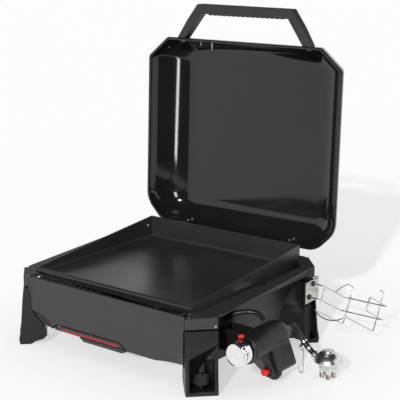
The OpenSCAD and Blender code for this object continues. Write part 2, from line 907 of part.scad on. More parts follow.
module firebox_liner() {
  top = seat_z;
  place() color("#2e2e2e")
    difference() {
      union() {
        translate([0, 0, liner_low])
          linear_extrude(top - liner_low - sheet_t)
            difference() {
              liner_shape(0);
              liner_shape(sheet_t);
            }
        translate([0, 0, liner_low])
          linear_extrude(sheet_t)
            difference() {
              liner_shape(0);
              translate([tray_mid - tray_w / 2 + 12, plate_front + 10])
                square([tray_w - 24, tray_d - 40]);
            }
        translate([0, 0, top - sheet_t])
          linear_extrude(sheet_t)
            difference() {
              liner_shape(0);
              translate([-plate_w / 2 + ledge, plate_front + ledge + 14])
                square([plate_w - 2 * ledge, plate_d - 2 * ledge - 14]);
              translate([-plate_w / 2 + drain_set - 2, plate_front])
                square([drain_l + 4, 18]);
            }
      }
      translate([liner_x - 10, -burner_y, burner_z])
        rotate([0, 90, 0])
          cylinder(r = burner_r + 0.5, h = 20);
    }
}
module heat_shield() {
  half = side_x - 50;
  place() color("#5a5a5a")
    translate([0, 0, liner_low + 16])
      difference() {
        union() {
          translate([-half, -burner_y - 30, 0])
            cube([2 * half, 2 * burner_y + 60, sheet_t]);
          for (x = [-half + 2, half - 4 - sheet_t])
            for (y = [-burner_y, burner_y - 12])
              translate([x, y, sheet_t - 16])
                cube([sheet_t, 12, 16]);
        }
        for (y = [-60:30:60])
          translate([50 - half, y - 3, -1])
            cube([2 * half - 100, 6, 6]);
      }
}
module vent_strip() {
  y0 = -half_d + sheet_t + 0.3;
  y1 = plate_front - 1;
  z0 = deck_front_z + 0.2;
  rise = seat_z - 1 + 3 - z0;
  slope = atan(rise / (y1 - y0));
  count = floor((plate_w - 12) / vent_pitch);
  place() color("#222222")
    translate([0, y0, z0])
      rotate([slope, 0, 0])
        linear_extrude(sheet_t)
          difference() {
            translate([-plate_w / 2 + 6, 0])
              square([plate_w - 12, (y1 - y0) / cos(slope) - 4]);
            for (i = [0:count - 1])
              translate([(i - (count - 1) / 2) * vent_pitch - vent_hole / 2, 3])
                square([vent_hole, (y1 - y0) * 0.55]);
          }
}

// Burner

module burner_tube() {
  x0 = 90 - side_x;
  x1 = side_x - 44;
  bend = 30;
  place() color("#7a7a7a")
    difference() {
      union() {
        for (s = [-1, 1])
          rod([x0, s * burner_y, burner_z], [s < 0 ? side_x - 8 : x1 - 40, s * burner_y, burner_z],
            burner_r);
        rod([x0 - bend, -burner_y + bend, burner_z], [x0 - bend, burner_y - bend, burner_z], burner_r);
        for (s = [-1, 1])
          translate([x0, s * (burner_y - bend), burner_z])
            rotate([0, 0, s > 0 ? 90 : 180])
              rotate_extrude(angle = 90)
                translate([bend, 0])
                  circle(r = burner_r);
        translate([x1 - 40, burner_y, burner_z])
          sphere(r = burner_r);
        // saddles that stand on the heat shield
        for (p = [[x0 + 20, 1], [x1 - 60, 1], [x0 + 20, -1], [x1 - 60, -1]])
          translate([p[0], p[1] * burner_y - 8, liner_low + 16 + sheet_t])
            cube([4, 16, burner_z - liner_low - 16 - burner_r * 0.6]);
      }
      for (s = [-1, 1])
        for (i = [0:port_count - 1])
          translate([x0 + 12 + i * (x1 - x0 - 70) / (port_count - 1), s * burner_y, burner_z])
            rotate([s * -45, 0, 0])
              translate([0, 0, burner_r - 3])
                cylinder(r = 1.5, h = 6);
      translate([side_x - 24, -burner_y, burner_z])
        rotate([0, 90, 0])
          cylinder(r = burner_r - 2, h = 40);
    }
}
module gas_orifice() {
  place() color("goldenrod")
    translate([side_x - 22, -burner_y, burner_z])
      rotate([0, 90, 0]) {
        cylinder(r1 = 2, r2 = orifice_r, h = 6);
        translate([0, 0, 6])
          cylinder(r = orifice_r, h = flank_x + orifice_seat - side_x + 16);
      }
}
module igniter_electrode() {
  place() color("ivory")
    translate([side_x / 2, -burner_y + 30, burner_z]) {
      rotate([90, 0, 0])
        cylinder(r = 3.5, h = 14);
      rotate([90, 0, 0])
        translate([0, 0, 14])
          cylinder(r = 1, h = 2.5);
      translate([-5, -4, liner_low + 16 + sheet_t - burner_z])
        cube([10, 2, burner_z - liner_low - 16 - sheet_t]);
    }
}

// Legs

module leg_profile(top) {
  polygon([[-9 - (158 - top) * 0.12, top], [-15, 108], [-21, 36], [-leg_out, 12], [-23.5, 0], [1.5, 0],
    [11, 6], [30, 11], [39, 20], [37, 33], [35, 41], [4.6, 82], [0.8, min(137, top - 1)], [0.8, top]]);
}
module leg_solid(top) {
  rotate([90, 0, 90])
    linear_extrude(face_w)
      leg_profile(top);
  translate([6, 0, 41])
    cube([face_w - 12, leg_core, top - 41]);
}
module front_leg() {
  difference() {
    leg_solid(leg_top_front);
    difference() {
      translate([(face_w - recess_w) / 2, -60, recess_low])
        cube([recess_w, 60 + recess_deep, recess_top - recess_low]);
      translate([stud_s, stud_u, wheel_z + wheel_h + 0.5])
        cylinder(r = boss_r, h = 60);
    }
    translate([stud_s, stud_u, 2])
      cylinder(r = stud_r + stud_gap, h = recess_top + 2);
    translate([stud_s, stud_u, -1])
      cylinder(r = pad_r + 0.3, h = pad_h + 1.3);
    // hollow behind the corner face, above the recess
    translate([9, 4, recess_top + 6])
      cube([face_w - 18, 40, leg_top_front - recess_top - 12]);
  }
}
module rear_leg() {
  difference() {
    leg_solid(leg_top_rear);
    // hollows between the ribs, open on the flanks
    for (s = [-1, face_w - 27])
      translate([s, 0, 0])
        rotate([90, 0, 90])
          linear_extrude(28) {
            polygon([[-8, leg_top_rear - 8], [-12, 108], [-17.5, 36], [-20, 14], [-3, 8],
              [-2, leg_top_rear - 8]]);
            polygon([[2.5, 9], [10, 10], [29, 15], [34, 21], [32, 31], [31, 36], [2.5, 74]]);
          }
    translate([face_w / 2, -10, -EPS])
      cylinder(r = pad_r + 0.2, h = foot_h);
  }
}
module leg_front_right() {
  place() color("#202020")
    corner_frame()
      front_leg();
}
module leg_front_left() {
  place() color("#202020")
    mirror([1, 0, 0])
      corner_frame()
        front_leg();
}
module leg_rear_right() {
  pad_x = side_x + 14;
  face_x = bracket_x - bracket_t;
  place() color("#202020")
    difference() {
      union() {
        mirror([0, 1, 0])
          corner_frame()
            rear_leg();
        // pad that carries the cylinder bracket
        translate([pad_x, bracket_y + 6, bracket_z + 3])
          cube([face_x - pad_x, bracket_w - 16, bracket_h - 8]);
      }
      translate([face_x, bracket_y - 2, bracket_z - 2])
        cube([20, bracket_w + 4, bracket_h + 12]);
    }
}
module leg_rear_left() {
  place() color("#202020")
    mirror([1, 0, 0])
      mirror([0, 1, 0])
        corner_frame()
          rear_leg();
}
module leveler_screw() {
  corner_frame()
    translate([stud_s, stud_u, 0]) {
      translate([0, 0, 2.5])
        cylinder(r = stud_r, h = recess_top - 4);
      translate([0, 0, wheel_z])
        difference() {
          cylinder(r = wheel_r, h = wheel_h);
          for (i = [0:wheel_grips - 1])
            rotate([0, 0, i * 360 / wheel_grips])
              translate([wheel_r + 0.8, 0, -1])
                cylinder(r = 1.8, h = wheel_h + 2, $fn = 24);
        }
    }
}
module leveler_screw_right() {
  place() color("#262626")
    leveler_screw();
}
module leveler_screw_left() {
  place() color("#262626")
    mirror([1, 0, 0])
      leveler_screw();
}
module leveler_pad() {
  corner_frame()
    translate([stud_s, stud_u, 0])
      difference() {
        cylinder(r = pad_r, h = pad_h);
        translate([0, 0, 2.5])
          cylinder(r = stud_r + stud_gap, h = pad_h);
      }
}
module leveler_pad_right() {
  place() color("#111111")
    leveler_pad();
}
module leveler_pad_left() {
  place() color("#111111")
    mirror([1, 0, 0])
      leveler_pad();
}
module rear_feet() {
  place() color("#111111")
    both_sides()
      mirror([0, 1, 0])
        corner_frame()
          translate([face_w / 2, -10, 0])
            cylinder(r = pad_r, h = foot_h - EPS);
}
module small_screw() {
  screw(1.4, 3, 2.6, 1.2);
}
module body_screws() {
  // depth that keeps the heads clear of the closed lid's rim
  sink = 1.3;
  place() color("silver")
    both_sides()
      corner_frame() {
        // sunk in the shoulder's front corner
        translate([9, 9 - skirt_out, deck_z(-half_d + 12) - sink])
          rotate([180, 0, 0])
            small_screw();
        // on the face of the corner skirt
        translate([face_w - 5, -skirt_out, leg_top_front + seam + 5])
          rotate([-90, 0, 0])
            small_screw();
        // in the recess of the leg
        translate([face_w - 17, recess_deep, 31.7])
          rotate([-90, 0, 0])
            small_screw();
      }
}

// Grease tray

module grease_tray() {
  front_d = 6;
  y0 = tray_front + 2;
  place() color("#6c6c6c")
    translate([tray_mid, 0, tray_z]) {
      difference() {
        translate([-tray_w / 2 + 4, y0 + front_d - EPS, 0])
          cube([tray_w - 8, tray_d, tray_h]);
        translate([-tray_w / 2 + 4 + tray_t, y0 + front_d + tray_t, tray_t])
          cube([tray_w - 8 - 2 * tray_t, tray_d - 2 * tray_t, tray_h]);
      }
      // flanges that slide on the runners
      for (s = [-1, 1])
        translate([s * (tray_w / 2 - 4 + tray_flange / 2 - EPS) - tray_flange / 2, y0 + front_d + 6,
          tray_h - tray_t])
          cube([tray_flange, tray_d - 6, tray_t]);
      // front bar with the groove for the stripe, and the pull lip below it
      difference() {
        backwards(y0, front_d)
          polygon([[-cut_low_w / 2 + 6, 2], [cut_low_w / 2 - 6, 2],
            [cut_top_w / 2 - 3, tray_h - 0.5], [-cut_top_w / 2 + 3, tray_h - 0.5]]);
        translate([-tray_w / 2 + 4, y0 - 1, 3.4])
          cube([tray_w - 8, 3, stripe_h + 0.2]);
      }
      backwards(y0 - 3.2, front_d + 3)
        polygon([[-14, -5.5], [cut_low_w / 2 - 14, -5.5], [cut_low_w / 2 - 2, 0],
          [cut_low_w / 2 - 4, 2.2], [-26, 2.2]]);
    }
}
module tray_stripe() {
  place() color("crimson")
    translate([tray_mid - tray_w / 2 + 4.1, tray_front + 1.2, tray_z + 3.5])
      cube([tray_w - 8.2, 2.6, stripe_h]);
}
module tray_runners() {
  shelf_z = tray_z + tray_h - tray_t - 0.3 - runner_t;
  place() color("#5a5a5a")
    for (s = [-1, 1])
      translate([tray_mid + s * (tray_w / 2 + 4), tray_front + scoop_deep + 4, shelf_z])
        mirror([s < 0 ? 1 : 0, 0, 0]) {
          cube([runner_t, tray_d, panel_low + 20 - shelf_z]);
          translate([-5.5, 0, 0])
            cube([5.5 + EPS, tray_d, runner_t]);
        }
}
module grease_chute() {
  x0 = -plate_w / 2 + drain_set - 2;
  y0 = plate_front + 1;
  place() color("#4c4c4c")
    rotate([90, 0, 90])
      translate([0, 0, x0])
        linear_extrude(drain_l + 4)
          polygon([[y0 + 1, seat_z - 3], [y0 + 16.5, seat_z - 3], [y0 + 16.5, liner_low + sheet_t],
            [y0 + 15, liner_low + sheet_t], [y0 + 15, seat_z - 5], [y0 + 2.5, seat_z - 5],
            [y0 + 2.5, liner_low + sheet_t], [y0 + 1, liner_low + sheet_t]]);
}

// Valve housing

// A disc of the barrel: y is measured from the knob's face
module barrel_disc(y, z, r) {
  translate([knob_x, knob_face + y, knob_z + z])
    rotate([-90, 0, 0])
      cylinder(r = r, h = 2, $fn = 40);
}
module barrel() {
  hull() {
    barrel_disc(collar_back - knob_face, 0, 30);
    barrel_disc(64, 3, 34);
    barrel_disc(92, 7, 38);
    barrel_disc(118, 6, 37);
  }
  hull() {
    barrel_disc(118, 6, 37);
    barrel_disc(157, 0, 31);
    barrel_disc(184, -6, 22);
  }
}
module valve_housing() {
  place() color("#1d1d1d")
    difference() {
      union() {
        barrel();
        // box that carries the piezo igniter
        hull()
          for (p = [[box_x - 26, 92, 10, 55], [box_x + 14, 92, 10, 55], [box_x + 15, 34, 8, 81],
            [box_x - 12, 32, 8, 81]])
            translate([p[0], knob_face + 108, p[1]])
              rotate([-90, 0, 0])
                cylinder(r = p[2], h = p[3], $fn = 32);
        hull()
          for (p = [[box_x - 24, 90, 8], [box_x + 6, 90, 8], [box_x + 4, 54, 8]])
            translate([p[0], knob_face + 60, p[1]])
              rotate([-90, 0, 0])
                cylinder(r = p[2], h = 60, $fn = 32);
        translate([igniter_x, igniter_front, igniter_z])
          rotate([-90, 0, 0])
            cylinder(r = igniter_r, h = 56);
      }
      translate([knob_x, collar_back - 1, knob_z])
        rotate([-90, 0, 0])
          cylinder(r = stem_r + stem_gap, h = 30);
      translate([igniter_x, igniter_front - 1, igniter_z])
        rotate([-90, 0, 0])
          cylinder(r = button_r + button_gap, h = 20);
    }
}
module housing_arm() {
  reach = knob_x - 29 - flank_x;
  place() color("#1d1d1d")
    difference() {
      translate([flank_x, knob_face + 56, 66]) {
        cube([3, 64, 54]);
        for (y = [10, 48])
          translate([0, y, 6])
            cube([reach, 6, 48]);
        translate([0, 10, 18])
          cube([reach, 44, 6]);
      }
      barrel();
    }
}
module knob_collar() {
  place() color("#0d0d0d")
    translate([knob_x, collar_back - collar_t, knob_z])
      rotate([-90, 0, 0])
        difference() {
          cylinder(r = collar_r, h = collar_t);
          translate([0, 0, -1])
            cylinder(r = stem_r + 1, h = collar_t + 2);
        }
}
module knob() {
  place() color("gainsboro")
    translate([knob_x, knob_face, knob_z])
      rotate([-90, 0, 0])
        difference() {
          rotate_extrude()
            polygon([[0, 0], [knob_r - 2, 0], [knob_r, 1.5], [knob_r, 8], [knob_r - 2.5, 9],
              [knob_r - 2.5, 13], [knob_r - 0.5, 14], [knob_r, knob_l], [0, knob_l]]);
          translate([0, 0, 8])
            cylinder(r = stem_r + stem_gap, h = knob_l);
          for (i = [0:17])
            rotate([0, 0, i * 20])
              translate([knob_r + 1.6, 0, 16])
                cylinder(r = 2.6, h = knob_l, $fn = 24);
        }
}
module valve_stem() {
  place() color("silver")
    translate([knob_x, knob_face + 8 + knob_push + 0.5, knob_z])
      rotate([-90, 0, 0])
        cylinder(r = stem_r, h = collar_back - knob_face - 8 - knob_push - 0.5 + 24);
}
module index_tab() {
  place() color("crimson")
    translate([knob_x, collar_back - collar_t, knob_z])
      rotate([0, -16, 0])
        translate([-6, 0, collar_r + 0.2])
          cube([12, collar_t, 7]);
}
module igniter_button() {
  place() color("crimson")
    translate([igniter_x, igniter_front - button_out, igniter_z])
      rotate([-90, 0, 0]) {
        translate([0, 0, 1.5])
          cylinder(r = button_r, h = button_out + 12);
        cylinder(r1 = button_r - 1.5, r2 = button_r, h = 1.5 + EPS);
      }
}
module gas_fitting() {
  place() color("dimgray")
    translate([flank_x, -burner_y, burner_z])
      difference() {
        union() {
          translate([0, -20, -12])
            cube([2.5, 40, 24]);
          rotate([0, 90, 0])
            cylinder(r = 9, h = 18);
          translate([12, -8, -4])
            cube([12, 16, 14]);
        }
        rotate([0, 90, 0])
          cylinder(r = orifice_r, h = orifice_seat);
      }
}
// Routes of the gas tube and the hose, measured from the knob's face
tube_route = [for (p = [
  [-75, 86, 44.5], [-71, 84, 49.5], [-65, 85, 52.5], [-55, 91, 54.5], [-47, 97, 56],
  [-40, 102, 56.5], [-32, 106, 56], [-25, 110, 54], [-19, 114, 50.5], [-15, 117, 46],
  [-13, 118, 40.5]])
  knob_at + p];
hose_route = [for (p = [
  [-4, 185, 2.5], [-3, 191, 6], [-1.5, 197, 7.8], [0.5, 203, 7.5], [3, 208, 4.5], [6.3, 211.2, 0],
  [10, 212.8, -5.5], [14, 213.8, -11.2], [18, 214.4, -17], [22.2, 214.8, -22.5],
  [26.6, 215, -27.5], [31, 215.2, -32.2], [35.4, 215.4, -36.5], [39.8, 215.5, -40.3],
  [44.1, 215.5, -43.7], [48.4, 215.4, -46.7], [52.6, 215.3, -49.3]])
  knob_at + p];
// Ring of points round a route point, square to its direction
function along(route, i) = let (n = len(route))
  i == 0 ? route[1] - route[0] : i == n - 1 ? route[n - 1] - route[n - 2] : route[i + 1] - route[i - 1];
function unit(v) = v / norm(v);
function ring(route, i, r, sides) = let (t = unit(along(route, i)), a = unit(cross(t, [1, 0, 1])),
  b = cross(t, a))
  [for (k = [0:sides - 1]) route[i] + r * (cos(360 * k / sides) * a + sin(360 * k / sides) * b)];
// A tube of round section swept along a route
module swept_tube(route, r, sides) {
  n = len(route);
  pts = [for (i = [0:n - 1]) each ring(route, i, r, sides)];
  walls = [for (i = [0:n - 2]) for (k = [0:sides - 1]) let (m = (k + 1) % sides)
    each [[i * sides + k, (i + 1) * sides + k, (i + 1) * sides + m],
      [i * sides + k, (i + 1) * sides + m, i * sides + m]]];
  caps = [[for (k = [0:sides - 1]) k], [for (k = [sides - 1:-1:0]) (n - 1) * sides + k]];
  polyhedron(points = pts, faces = concat(walls, caps));
}
module gas_tube() {
  place() color("#151515")
    swept_tube(tube_route, tube_r, 12);
}
module hose() {
  place() color("#151515")
    swept_tube(hose_route, hose_r, 12);
}
match_eye = knob_at + [27.25, 205, -31.8];
hose_start = hose_route[0];
hose_end = hose_route[len(hose_route) - 1];
module hose_gland() {
  place() color("#151515")
    difference() {
      rod(hose_start - [0, 2, 0], hose_start + [0, 4, 0], hose_r + 3);
      swept_tube([for (i = [0:4]) hose_route[i]], hose_r + 0.05, 12);
      barrel();
    }
}
// A ring round the hose at one of the route's points
module hose_ring(i, half) {
  p = hose_route[i];
  d = unit(hose_route[i + 1] - hose_route[i - 1]) * half;
  difference() {
    union() {
      rod(p - d, p + d, hose_r + 1.2);
      children();
    }
    rod(p - d * 3, p + d * 3, hose_r + 0.05);
  }
}
module hose_band() {
  place() color("silver")
    hose_ring(13, 3);
}
// Clip on the hose with the eye that carries the match holder
module match_clip() {
  place() color("silver")
    difference() {
      hose_ring(10, 2)
        translate(match_eye - [1.25, 3.5, 4])
          cube([2.5, 9, 8]);
      translate(match_eye - [5, 0, 0])
        rotate([0, 90, 0])
          cylinder(r = match_r + 0.5, h = 10);
    }
}
reg = [knob_x + 87, knob_face + 217.3, 0];
collar_in = 18.4;
module regulator_form() {
  translate(reg)
    rotate_extrude()
      polygon([[0, 4.5], [15.5, 4.5], [15.5, 21], [18.3, 22], [18.3, 37], [27, 38.5], [31.4, 40],
        [31.4, 43], [29, 49], [22, 56], [13.3, 61.5], [0, 62]]);
}
module regulator_body() {
  place() color("gainsboro") {
    translate(reg)
      cylinder(r = 2, h = 6);
    difference() {
      regulator_form();
      translate(reg)
        for (a = [20:90:290])
          rotate([0, 0, a])
            translate([-4.5, 5, 0])
              cube([9, 20, 19]);
    }
  }
}
module regulator_disc() {
  place() color("silver")
    translate(reg + [0, 0, 62])
      rotate_extrude()
        polygon([[0, 0], [13.3, 0], [12.8, 2], [11, 3], [0, 3]]);
}
module regulator_collar() {
  place() color("gainsboro")
    translate(reg)
      difference() {
        translate([0, 0, 24])
          cylinder(r = 22, h = 9, $fn = 48);
        translate([0, 0, 23])
          cylinder(r = collar_in, h = 11);
        for (i = [0:5])
          rotate([0, 0, i * 60])
            translate([24, 0, 23])
              cylinder(r = 5, h = 11);
      }
}
module regulator_inlet() {
  d = unit(hose_route[len(hose_route) - 1] - hose_route[len(hose_route) - 2]);
  place() color("darkgray")
    difference() {
      union() {
        rod(hose_end, hose_end + d * 14, hose_r + 2);
        rod(hose_end, hose_end + d * 3, hose_r + 4);
      }
      regulator_form();
      translate(reg + [0, 0, 20])
        cylinder(r = 22.3, h = 13.3);
    }
}
module match_holder() {
  x = match_eye[0];
  y = match_eye[1];
  ring_z = match_eye[2] - ring_r;
  place() color("silver") {
    translate([x, y, ring_z])
      rotate([90, 0, 0])
        rotate_extrude($fn = 32)
          translate([ring_r, 0])
            circle(r = match_r);
    wire([[x + ring_r * 0.7, y, ring_z - ring_r * 0.7], [x + 5, y, ring_z - 14], [x + 4.5, y, 3.5],
      [x - 4.5, y, 3.5], [x - 7.5, y, 14]], match_r, 2, 8);
  }
}

// Cylinder bracket and cradle

module cylinder_bracket() {
  place() color("silver")
    difference() {
      union() {
        rotate([90, 0, 90])
          translate([bracket_y, bracket_z, bracket_x - bracket_t])
            linear_extrude(bracket_t)
              polygon([[0, 0], [bracket_w - 6, 2], [bracket_w, 8], [bracket_w, bracket_h + 6],
                [bracket_w - 14, bracket_h + 6], [bracket_w - 20, bracket_h], [0, bracket_h]]);
        translate([bracket_x - 18, bracket_y, bracket_z + bracket_h - 14])
          cube([18, bracket_t, 14]);
        translate([bracket_x - EPS, bracket_y + bracket_w - 8, bracket_z + bracket_h - 1])
          rotate([0, 90, 0])
            cylinder(r = 3.5, h = 2);
      }
      for (d = [0, rail_gap])
        translate(cradle(0, 0, d) - [10, 0, 0])
          rotate([0, 90, 0])
            cylinder(r = wire_r + 3.3, h = 20);
    }
}
module bracket_grommets() {
  place() color("#0c0c0c")
    for (d = [0, rail_gap])
      translate(cradle(0, 0, d))
        rotate([0, 90, 0])
          difference() {
            union() {
              translate([0, 0, -2])
                cylinder(r = wire_r + 3.2, h = 4);
              cylinder(r = wire_r + 4.5, h = 2.5);
            }
            translate([0, 0, -3])
              cylinder(r = wire_r + 0.05, h = 8);
          }
}
module cradle_rails() {
  place() color("silver") {
    wire([cradle(-1.9, 0, 0), cradle(rail_out, 0, 0), cradle(rail_out, rail_deep, 0),
      cradle(far_x, rail_deep, 0), cradle(far_x, rail_deep - arm_l, 0),
      cradle(far_x, rail_deep - arm_l, rail_gap), cradle(far_x, rail_deep, rail_gap),
      cradle(rail_out, rail_deep, rail_gap), cradle(rail_out, 0, rail_gap),
      cradle(-1.9, 0, rail_gap)], wire_r);
    rod(cradle(rail_out, 7, 0), cradle(rail_out, 7, rail_gap), wire_r);
  }
}
hoop_r = (pow(hoop_w / 2, 2) + pow(hoop_sag, 2)) / (2 * hoop_sag);
hoop_half_angle = asin(hoop_w / 2 / hoop_r);
function front_arc(t) = cradle(hoop_x + hoop_w / 2 + hoop_r * sin(t), -hoop_front,
  hoop_drop + hoop_sag - hoop_r * (1 - cos(t)));
module cradle_hoop() {
  back = rail_deep + 2 * wire_r;
  place() color("silver")
    wire(concat([cradle(rail_out + 2.9, back - 53, 0), cradle(rail_out + 8, back - 45, -14),
      cradle(hoop_x - 1, back - 26, -hoop_up), cradle(hoop_x, back, -hoop_up + 2),
      cradle(hoop_x, back, hoop_drop), cradle(hoop_x, -hoop_front, hoop_drop)],
      [for (t = [-0.7:0.35:0.7]) front_arc(t * hoop_half_angle)],
      [cradle(hoop_x + hoop_w, -hoop_front, hoop_drop), cradle(hoop_x + hoop_w, back, hoop_drop),
      cradle(hoop_x + hoop_w, back, -hoop_up - 2), cradle(hoop_x + hoop_w - 2, back - 14, -hoop_up - 3)]),
      wire_r, 4);
}

lid_shell();
lid_handle();
handle_screws();
hinge_screws();
lid_studs();
lid_hinge_straps();
base_hinge_brackets();
hinge_pins();
griddle_plate();
shoulder();
front_panel();
side_panels();
rear_panel();
bottom_pan();
firebox_liner();
heat_shield();
vent_strip();
burner_tube();
gas_orifice();
igniter_electrode();
leg_front_right();
leg_front_left();
leg_rear_right();
leg_rear_left();
leveler_screw_right();
leveler_screw_left();
leveler_pad_right();
leveler_pad_left();
rear_feet();
body_screws();
grease_tray();
tray_stripe();
tray_runners();
grease_chute();
valve_housing();
housing_arm();
knob_collar();
knob();
valve_stem();
index_tab();
igniter_button();
gas_fitting();
gas_tube();
hose_gland();
hose();
hose_band();
match_clip();
regulator_body();
regulator_disc();
regulator_collar();
regulator_inlet();
match_holder();
cylinder_bracket();
bracket_grommets();
cradle_rails();
cradle_hoop();
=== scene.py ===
import json
import math

import bmesh
import bpy
from mathutils import Matrix, Vector

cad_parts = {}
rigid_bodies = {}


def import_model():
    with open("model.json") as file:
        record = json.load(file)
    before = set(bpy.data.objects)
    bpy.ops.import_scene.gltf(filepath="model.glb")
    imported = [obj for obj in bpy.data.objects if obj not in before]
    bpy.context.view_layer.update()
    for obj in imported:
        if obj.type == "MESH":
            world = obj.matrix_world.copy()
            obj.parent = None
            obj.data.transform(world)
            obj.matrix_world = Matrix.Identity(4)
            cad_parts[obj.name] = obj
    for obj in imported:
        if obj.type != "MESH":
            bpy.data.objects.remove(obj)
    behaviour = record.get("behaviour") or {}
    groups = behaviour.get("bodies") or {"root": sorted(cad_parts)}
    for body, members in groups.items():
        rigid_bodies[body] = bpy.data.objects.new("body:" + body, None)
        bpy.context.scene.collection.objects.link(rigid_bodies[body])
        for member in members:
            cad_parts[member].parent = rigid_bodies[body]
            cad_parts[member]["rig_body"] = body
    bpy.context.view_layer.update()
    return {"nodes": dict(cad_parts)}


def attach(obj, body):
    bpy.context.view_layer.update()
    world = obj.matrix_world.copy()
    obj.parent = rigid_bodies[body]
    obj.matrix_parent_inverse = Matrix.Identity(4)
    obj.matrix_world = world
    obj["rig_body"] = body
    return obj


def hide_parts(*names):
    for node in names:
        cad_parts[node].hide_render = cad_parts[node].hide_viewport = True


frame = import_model()
NODES = frame["nodes"]

# Millimetres round the middle of the body, as in part.scad, to metres in the row's frame
CENTRE = Vector((67.734, 56.317, 0.0))


def P(x, y, z):
    return (Vector((x, y, z)) - CENTRE) / 1000


# Camera

camera_data = bpy.data.cameras.new("camera")
camera_data.lens = 99.18
camera_data.sensor_width = 36
camera = bpy.data.objects.new("camera", camera_data)
camera.location = (1.48117, -1.93585, 0.91638)
PAN, TILT_DOWN, ROLL = 37.7524, 13.4708, 0.0787  # degrees, fitted to the photo
camera.rotation_euler = (
    Matrix.Rotation(math.radians(PAN), 4, "Z")
    @ Matrix.Rotation(math.radians(90 - TILT_DOWN), 4, "X")
    @ Matrix.Rotation(math.radians(ROLL), 4, "Z")
).to_euler()
bpy.context.scene.collection.objects.link(camera)
bpy.context.scene.camera = camera

# Materials


def link(tree, a, b):
    tree.links.new(a, b)


def empty_tree(owner):
    """The node tree of a material or a world, with nothing in it."""
    owner.use_nodes = True
    owner.node_tree.nodes.clear()
    return owner.node_tree


def noise_texture(tree, vector, scale, detail):
    node = tree.nodes.new("ShaderNodeTexNoise")
    node.inputs["Scale"].default_value = scale
    node.inputs["Detail"].default_value = detail
    link(tree, vector, node.inputs["Vector"])
    return node.outputs["Fac"]


def map_range(tree, value, from_min, from_max, to_min, to_max):
    node = tree.nodes.new("ShaderNodeMapRange")
    node.inputs["From Min"].default_value = from_min
    node.inputs["From Max"].default_value = from_max
    node.inputs["To Min"].default_value = to_min
    node.inputs["To Max"].default_value = to_max
    link(tree, value, node.inputs["Value"])
    return node.outputs["Result"]


# Where the drifting noise goes from its lowest to its highest
DRIFT_LOW, DRIFT_HIGH = 0.3, 0.7
# How far the rounded normal turns from the face's own where wear begins and where it is full
WEAR_BEGINS, WEAR_FULL = 0.985, 0.82
WEAR_PATCHES = 60
SMOOTHEST = 0.02


def worn_edges(tree, position, colour_out, rough_out, wear):
    """Edges polished or scuffed by handling, found from the rounded normal."""
    worn_colour, worn_rough, radius, amount = wear
    bevel = tree.nodes.new("ShaderNodeBevel")
    bevel.samples = 6
    bevel.inputs["Radius"].default_value = radius
    geometry = tree.nodes.new("ShaderNodeNewGeometry")
    dot = tree.nodes.new("ShaderNodeVectorMath")
    dot.operation = "DOT_PRODUCT"
    link(tree, bevel.outputs["Normal"], dot.inputs[0])
    link(tree, geometry.outputs["Normal"], dot.inputs[1])
    edge = map_range(tree, dot.outputs["Value"], WEAR_BEGINS, WEAR_FULL, 0, amount)
    patch = noise_texture(tree, position, WEAR_PATCHES, 4)
    share = tree.nodes.new("ShaderNodeMath")
    share.operation = "MULTIPLY"
    link(tree, edge, share.inputs[0])
    link(tree, patch, share.inputs[1])
    mix = tree.nodes.new("ShaderNodeMix")
    mix.data_type = "RGBA"
    link(tree, share.outputs["Value"], mix.inputs["Factor"])
    link(tree, colour_out, mix.inputs[6])
    mix.inputs[7].default_value = (*worn_colour, 1)
    mix_rough = tree.nodes.new("ShaderNodeMix")
    link(tree, share.outputs["Value"], mix_rough.inputs["Factor"])
    link(tree, rough_out, mix_rough.inputs[2])
    mix_rough.inputs[3].default_value = worn_rough
    return mix.outputs[2], mix_rough.outputs[0]


def finish_material(
    name,
    color,
    rough,
    metal=0.0,
    ior=1.5,
    mottle=(9.0, 0.12),
    grain=(1500.0, 0.15, 0.0002),
    rough_var=0.06,
    stretch=(1, 1, 1),
    wear=None,
    sheen=0.0,
):
    """A procedural finish: colour and roughness that drift, fine grain and worn edges.

    mottle is (scale, share), grain is (scale, strength, depth in metres) and wear is
    (colour, roughness, radius in metres, amount).
    """
    material = bpy.data.materials.new(name)
    tree = empty_tree(material)
    out = tree.nodes.new("ShaderNodeOutputMaterial")
    shader = tree.nodes.new("ShaderNodeBsdfPrincipled")
    link(tree, shader.outputs["BSDF"], out.inputs["Surface"])
    shader.inputs["Metallic"].default_value = metal
    shader.inputs["IOR"].default_value = ior
    shader.inputs["Sheen Weight"].default_value = sheen
    position = tree.nodes.new("ShaderNodeTexCoord").outputs["Object"]
    mapping = tree.nodes.new("ShaderNodeMapping")
    mapping.inputs["Scale"].default_value = stretch
    link(tree, position, mapping.inputs["Vector"])
    stretched = mapping.outputs["Vector"]
    # slow drift of colour and roughness
    mottle_scale, mottle_share = mottle
    drift = noise_texture(tree, stretched, mottle_scale, 5)
    ramp = tree.nodes.new("ShaderNodeValToRGB")
    ends = zip(
        ramp.color_ramp.elements, (DRIFT_LOW, DRIFT_HIGH), (1 - mottle_share, 1 + mottle_share)
    )
    for element, place, share in ends:
        element.position = place
        element.color = (*[min(1, c * share) for c in color], 1)
    link(tree, drift, ramp.inputs["Fac"])
    colour_out = ramp.outputs["Color"]
    smoothest, roughest = max(SMOOTHEST, rough - rough_var), min(1, rough + rough_var)
    rough_out = map_range(tree, drift, DRIFT_LOW, DRIFT_HIGH, smoothest, roughest)
    if wear:
        colour_out, rough_out = worn_edges(tree, position, colour_out, rough_out, wear)
    link(tree, colour_out, shader.inputs["Base Color"])
    link(tree, rough_out, shader.inputs["Roughness"])
    grain_scale, strength, depth = grain
    bump = tree.nodes.new("ShaderNodeBump")
    bump.inputs["Strength"].default_value = strength
    bump.inputs["Distance"].default_value = depth
    link(tree, noise_texture(tree, stretched, grain_scale, 3), bump.inputs["Height"])
    link(tree, bump.outputs["Normal"], shader.inputs["Normal"])
    return material


